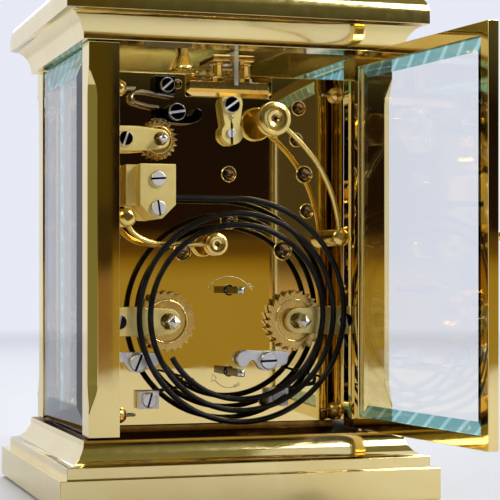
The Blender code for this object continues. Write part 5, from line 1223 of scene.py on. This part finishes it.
# repeat button: a cap above the case, a threaded stud and a pointed nut in the well
repeatLook = {
    "y": -24.35, "shank": 1.2, "thread": 0.16, "pitch": 0.5, "threadLow": 122.1, "threadHigh": 125.0,
    "nut": [
        (1.3, 118.1), (2.75, 118.1), (2.93, 118.3), (2.93, 118.8), (2.75, 119.3), (2.2, 120.3),
        (1.75, 121.3), (1.5, 121.9), (1.4, 122.1),
    ],
    "cap": [(2.3, 133.9), (2.4, 134.0), (2.4, 134.2), (2.25, 134.45), (1.7, 134.58), (0.8, 134.6)],
    "neck": 133.9,
}


def buildRepeat():
    look = repeatLook
    shank, depth = look["shank"], look["thread"]
    profile = list(look["nut"]) + [(shank - depth, look["threadLow"])]
    height = look["threadLow"]
    while height < look["threadHigh"]:
        profile += [(shank, height + 0.5 * look["pitch"]), (shank - depth, height + look["pitch"])]
        height += look["pitch"]
    profile += [(shank, height + 0.1), (shank, look["neck"])] + look["cap"]
    master = turnUp(profile, 40)
    smoothEdges(master, 28)
    place = Vector((0, look["y"] * mm, 0))
    node, brass = "repeat_button", finishes["polishedBrass"]
    placeCopy(master, "repeatButton", place, 1, brass, node, facing="up", stands=node)
    retire(master)


buildRepeat()


# dial printing: hour numerals, a minute ring and a small alarm ring
dialLook = {
    "centre": (0, 55.4), "face": -26.72, "numeral": 21.0, "size": 6.2, "ring": (25.6, 27.9), "line": 0.09,
    "alarmLine": 0.072, "spacing": 0.9,
    "alarmCentre": (0, 15.6), "alarmRing": (8.2, 9.6), "alarmNumeral": 6.3, "alarmSize": 2.6, "relief": 0.05,
    "hours": ["XII", "I", "II", "III", "IIII", "V", "VI", "VII", "VIII", "IX", "X", "XI"],
}


def dialSpot(x, z, out=0.0):
    return Vector((x * mm, (dialLook["face"] - out) * mm, baseTop + z * mm))


def printFigure(words, name, centre, away, degrees, size, upright):
    pickNothing()
    bpy.ops.object.text_add()
    figure = bpy.context.object
    figure.data.body = words
    figure.data.align_x = "CENTER"
    figure.data.align_y = "CENTER"
    figure.data.size = size * mm
    figure.data.extrude = dialLook["relief"] / 2 * mm
    figure.data.space_character = dialLook["spacing"]
    bpy.ops.object.convert(target="MESH")
    figure = bpy.context.object
    angle = math.radians(degrees)
    place = dialSpot(centre[0] + away * math.sin(angle), centre[1] + away * math.cos(angle))
    lean = Matrix.Rotation(0 if upright else -angle, 4, "Z")
    figure.data.transform(Matrix.Translation(place) @ Matrix.Rotation(math.pi / 2, 4, "X") @ lean)
    dressUp(figure, name, finishes["dialBlack"], "case")


def printRing(name, centre, radii, marks, wide):
    paths = []
    for radius in radii:
        paths.append([dialSpot(x, z) for x, z in arcStroke(*centre, radius, 0, 360, 120)])
    for i in range(marks):
        angle = 2 * math.pi * i / marks
        x, z = math.sin(angle), math.cos(angle)
        paths.append([dialSpot(centre[0] + x * r, centre[1] + z * r) for r in radii])
    ring = drawWire(paths, wide, 1)
    dressUp(ring, name, finishes["dialBlack"], "case")


def printDial():
    look = dialLook
    for i, words in enumerate(look["hours"]):
        name = f"hourFigure{i + 1}"
        printFigure(words, name, look["centre"], look["numeral"], 30 * i, look["size"], False)
    printRing("minuteRing", look["centre"], look["ring"], 60, look["line"])
    centre, size = look["alarmCentre"], look["alarmSize"]
    for i in range(4):
        words = str(3 * i or 12)
        printFigure(words, f"alarmFigure{i + 1}", centre, look["alarmNumeral"], 90 * i, size, True)
    printRing("alarmRing", centre, look["alarmRing"], 24, look["alarmLine"])


printDial()
print("dial ready")


# stage: a pale floor that fades into a pale surround
stageLook = {
    "surround": (0.80, 0.825, 0.92), "fill": 0.5, "floor": (0.50, 0.508, 0.53), "floorRadius": 1.6,
    "floorDrop": 0.3, "floorRough": 0.6, "fade": (0.35, 1.5),
}


def buildWorld():
    world = bpy.data.worlds.new("studioAir")
    bpy.context.scene.world = world
    world.use_nodes = True
    tree = world.node_tree
    tree.nodes.clear()
    output = tree.nodes.new("ShaderNodeOutputWorld")
    seen = tree.nodes.new("ShaderNodeBackground")
    fill = tree.nodes.new("ShaderNodeBackground")
    pick = tree.nodes.new("ShaderNodeMixShader")
    path = tree.nodes.new("ShaderNodeLightPath")
    seen.inputs["Color"].default_value = (*stageLook["surround"], 1)
    fill.inputs["Color"].default_value = (*stageLook["surround"], 1)
    fill.inputs["Strength"].default_value = stageLook["fill"]
    share = path.outputs["Is Camera Ray"]
    for kind in ("Is Glossy Ray", "Is Transmission Ray"):
        most = tree.nodes.new("ShaderNodeMath")
        most.operation = "MAXIMUM"
        tree.links.new(share, most.inputs[0])
        tree.links.new(path.outputs[kind], most.inputs[1])
        share = most.outputs[0]
    tree.links.new(share, pick.inputs[0])
    tree.links.new(fill.outputs[0], pick.inputs[1])
    tree.links.new(seen.outputs[0], pick.inputs[2])
    tree.links.new(pick.outputs[0], output.inputs["Surface"])


def buildFloor():
    pickNothing()
    place, size = (0, 0, -stageLook["floorDrop"] * mm), stageLook["floorRadius"]
    bpy.ops.mesh.primitive_circle_add(vertices=96, radius=size, fill_type="NGON", location=place)
    floor = bpy.context.object
    floor.name = "floor"
    settle(floor)
    material, tree, shader = nodeTree("paleFloor")
    shader.inputs["Base Color"].default_value = (*stageLook["floor"], 1)
    shader.inputs["Roughness"].default_value = stageLook["floorRough"]
    place = tree.nodes.new("ShaderNodeTexCoord")
    away = tree.nodes.new("ShaderNodeVectorMath")
    away.operation = "LENGTH"
    tree.links.new(place.outputs["Object"], away.inputs[0])
    spreadTo(tree, away.outputs["Value"], 1.0, 0.0, shader.inputs["Alpha"], *stageLook["fade"])
    floor.data.materials.append(material)


# flags are glowing sheets seen only in reflections, and where marked also through glass; their tones are
# painted reflections: (height in metres, colour)
flags = {
    "roomWall": {
        "low": (-0.9, 0.62, 0.0), "high": (0.9, 0.625, 1.2),
        "tones": [
            (0.058, (0.335, 0.237, 0.045)), (0.0676, (0.25, 0.156, 0.014)), (0.0753, (0.095, 0.046, 0.008)),
            (0.083, (0.09, 0.05, 0.01)), (0.0895, (0.014, 0.006, 0.003)), (0.17, (0.010, 0.006, 0.005)),
            (0.24, (0.10, 0.097, 0.045)), (0.32, (0.16, 0.155, 0.07)),
        ],
    },
    "pillarFlag": {
        "low": (-0.0712, 0.48, 0.0), "high": (-0.03, 0.4825, 0.25), "soft": 0.012,
        "tones": [
            (0.058, (0.225, 0.13, 0.045)), (0.064, (0.045, 0.028, 0.008)), (0.092, (0.04, 0.025, 0.008)),
            (0.100, (0.070, 0.050, 0.007)),
        ],
    },
    "mirrorFlag": {
        "low": (-0.275, 0.63, 0.0), "high": (-0.185, 0.633, 0.6), "through": True,
        "tones": [
            (0.045, (0.36, 0.27, 0.12)), (0.070, (0.16, 0.11, 0.035)), (0.090, (0.035, 0.022, 0.010)),
            (0.300, (0.030, 0.020, 0.010)),
        ],
    },
    "doorFlag": {
        "low": (-0.03, 0.612, 0.0), "high": (0.10, 0.615, 0.5), "through": True,
        "tones": [
            (0.015, (0.73, 0.74, 0.75)), (0.052, (0.50, 0.33, 0.14)), (0.066, (0.04, 0.02, 0.01)),
            (0.078, (0.10, 0.08, 0.04)),
        ],
    },
    "sideFlag": {
        "low": (0.45, 0.06, 0.0), "high": (0.455, 0.6, 0.34), "tones": [(0.0, (0.20, 0.195, 0.085))],
    },
    "ceilingFlag": {
        "low": (-0.9, -0.02, 1.22), "high": (0.9, 0.64, 1.225), "tones": [(0.0, (0.18, 0.172, 0.075))],
    },
}


def buildFlag(name, look):
    flag = addBlock(look["low"], look["high"])
    flag.name = name
    material, tree, shader = nodeTree(name + "Cloth")
    shader.inputs["Base Color"].default_value = (0, 0, 0, 1)
    shader.inputs["Specular IOR Level"].default_value = 0
    # the flag's colour is emitted: painted reflection from a sheet that is no lamp
    shader.inputs["Emission Strength"].default_value = 1
    place = tree.nodes.new("ShaderNodeTexCoord")
    split = tree.nodes.new("ShaderNodeSeparateXYZ")
    ramp = tree.nodes.new("ShaderNodeValToRGB")
    tones = look["tones"]
    while len(ramp.color_ramp.elements) < len(tones):
        ramp.color_ramp.elements.new(0.5)
    while len(ramp.color_ramp.elements) > len(tones):
        ramp.color_ramp.elements.remove(ramp.color_ramp.elements[-1])
    for stop, (height, tone) in zip(ramp.color_ramp.elements, tones):
        stop.position = height
        stop.color = (*tone, 1)
    tree.links.new(place.outputs["Object"], split.inputs[0])
    tree.links.new(split.outputs["Z"], ramp.inputs["Fac"])
    tree.links.new(ramp.outputs["Color"], shader.inputs["Emission Color"])
    if "soft" in look:
        feather(tree, shader, split, look)
    flag.data.materials.append(material)
    flag.visible_camera = False
    flag.visible_shadow = False
    flag.visible_diffuse = False
    flag.visible_transmission = look.get("through", False)


# the foot and the right-hand edge of a flag thin out
def feather(tree, shader, split, look):
    thin = tree.nodes.new("ShaderNodeMath")
    thin.operation = "MULTIPLY"
    side, soft = look["high"][0], look["soft"]
    spreadTo(tree, split.outputs["X"], 1, 0, thin.inputs[0], side - soft, side)
    spreadTo(tree, split.outputs["Z"], 0, 1, thin.inputs[1], 0.0, 2 * soft)
    tree.links.new(thin.outputs[0], shader.inputs["Alpha"])


lamps = {
    "leftBox": {"at": (0.75, 0.30, 0.60), "aim": (0, 0, 0.07), "size": (0.5, 0.6), "power": 3.5},
    "rightBox": {"at": (-0.8, 0.45, 0.65), "aim": (0, 0, 0.07), "size": (0.5, 0.6), "power": 3.0},
    "topBox": {"at": (0.0, -0.35, 1.1), "aim": (0, 0, 0.07), "size": (0.8, 0.7), "power": 4.0},
    "rearBox": {"at": (-0.34, 0.54, 0.46), "aim": (0, 0, 0.06), "size": (0.12, 0.25), "power": 2.1},
    "frontBox": {"at": (-0.25, -0.85, 0.55), "aim": (0, 0, 0.07), "size": (0.6, 0.5), "power": 4.0},
}


def buildLamps():
    for name, lamp in lamps.items():
        data = bpy.data.lights.new(name, "AREA")
        data.shape = "RECTANGLE"
        data.size, data.size_y = lamp["size"]
        data.energy = lamp["power"]
        box = bpy.data.objects.new(name, data)
        box.location = lamp["at"]
        way = Vector(lamp["aim"]) - Vector(lamp["at"])
        box.rotation_euler = way.to_track_quat("-Z", "Y").to_euler()
        bpy.context.scene.collection.objects.link(box)


cameraSettings = {
    "at": (0.12551, 0.43125, 0.05716), "turn": 162.98, "lens": 117.25, "shift": (0.039, 0.0598),
}


def buildCamera():
    data = bpy.data.cameras.new("rearCamera")
    data.lens = cameraSettings["lens"]
    data.shift_x, data.shift_y = cameraSettings["shift"]
    camera = bpy.data.objects.new("rearCamera", data)
    camera.location = cameraSettings["at"]
    camera.rotation_euler = (math.pi / 2, 0, math.radians(cameraSettings["turn"]))
    bpy.context.scene.collection.objects.link(camera)
    bpy.context.scene.camera = camera


buildWorld()
buildFloor()
for name, look in flags.items():
    buildFlag(name, look)
buildLamps()
buildCamera()
bpy.context.scene.view_settings.view_transform = "Standard"
print("stage ready")
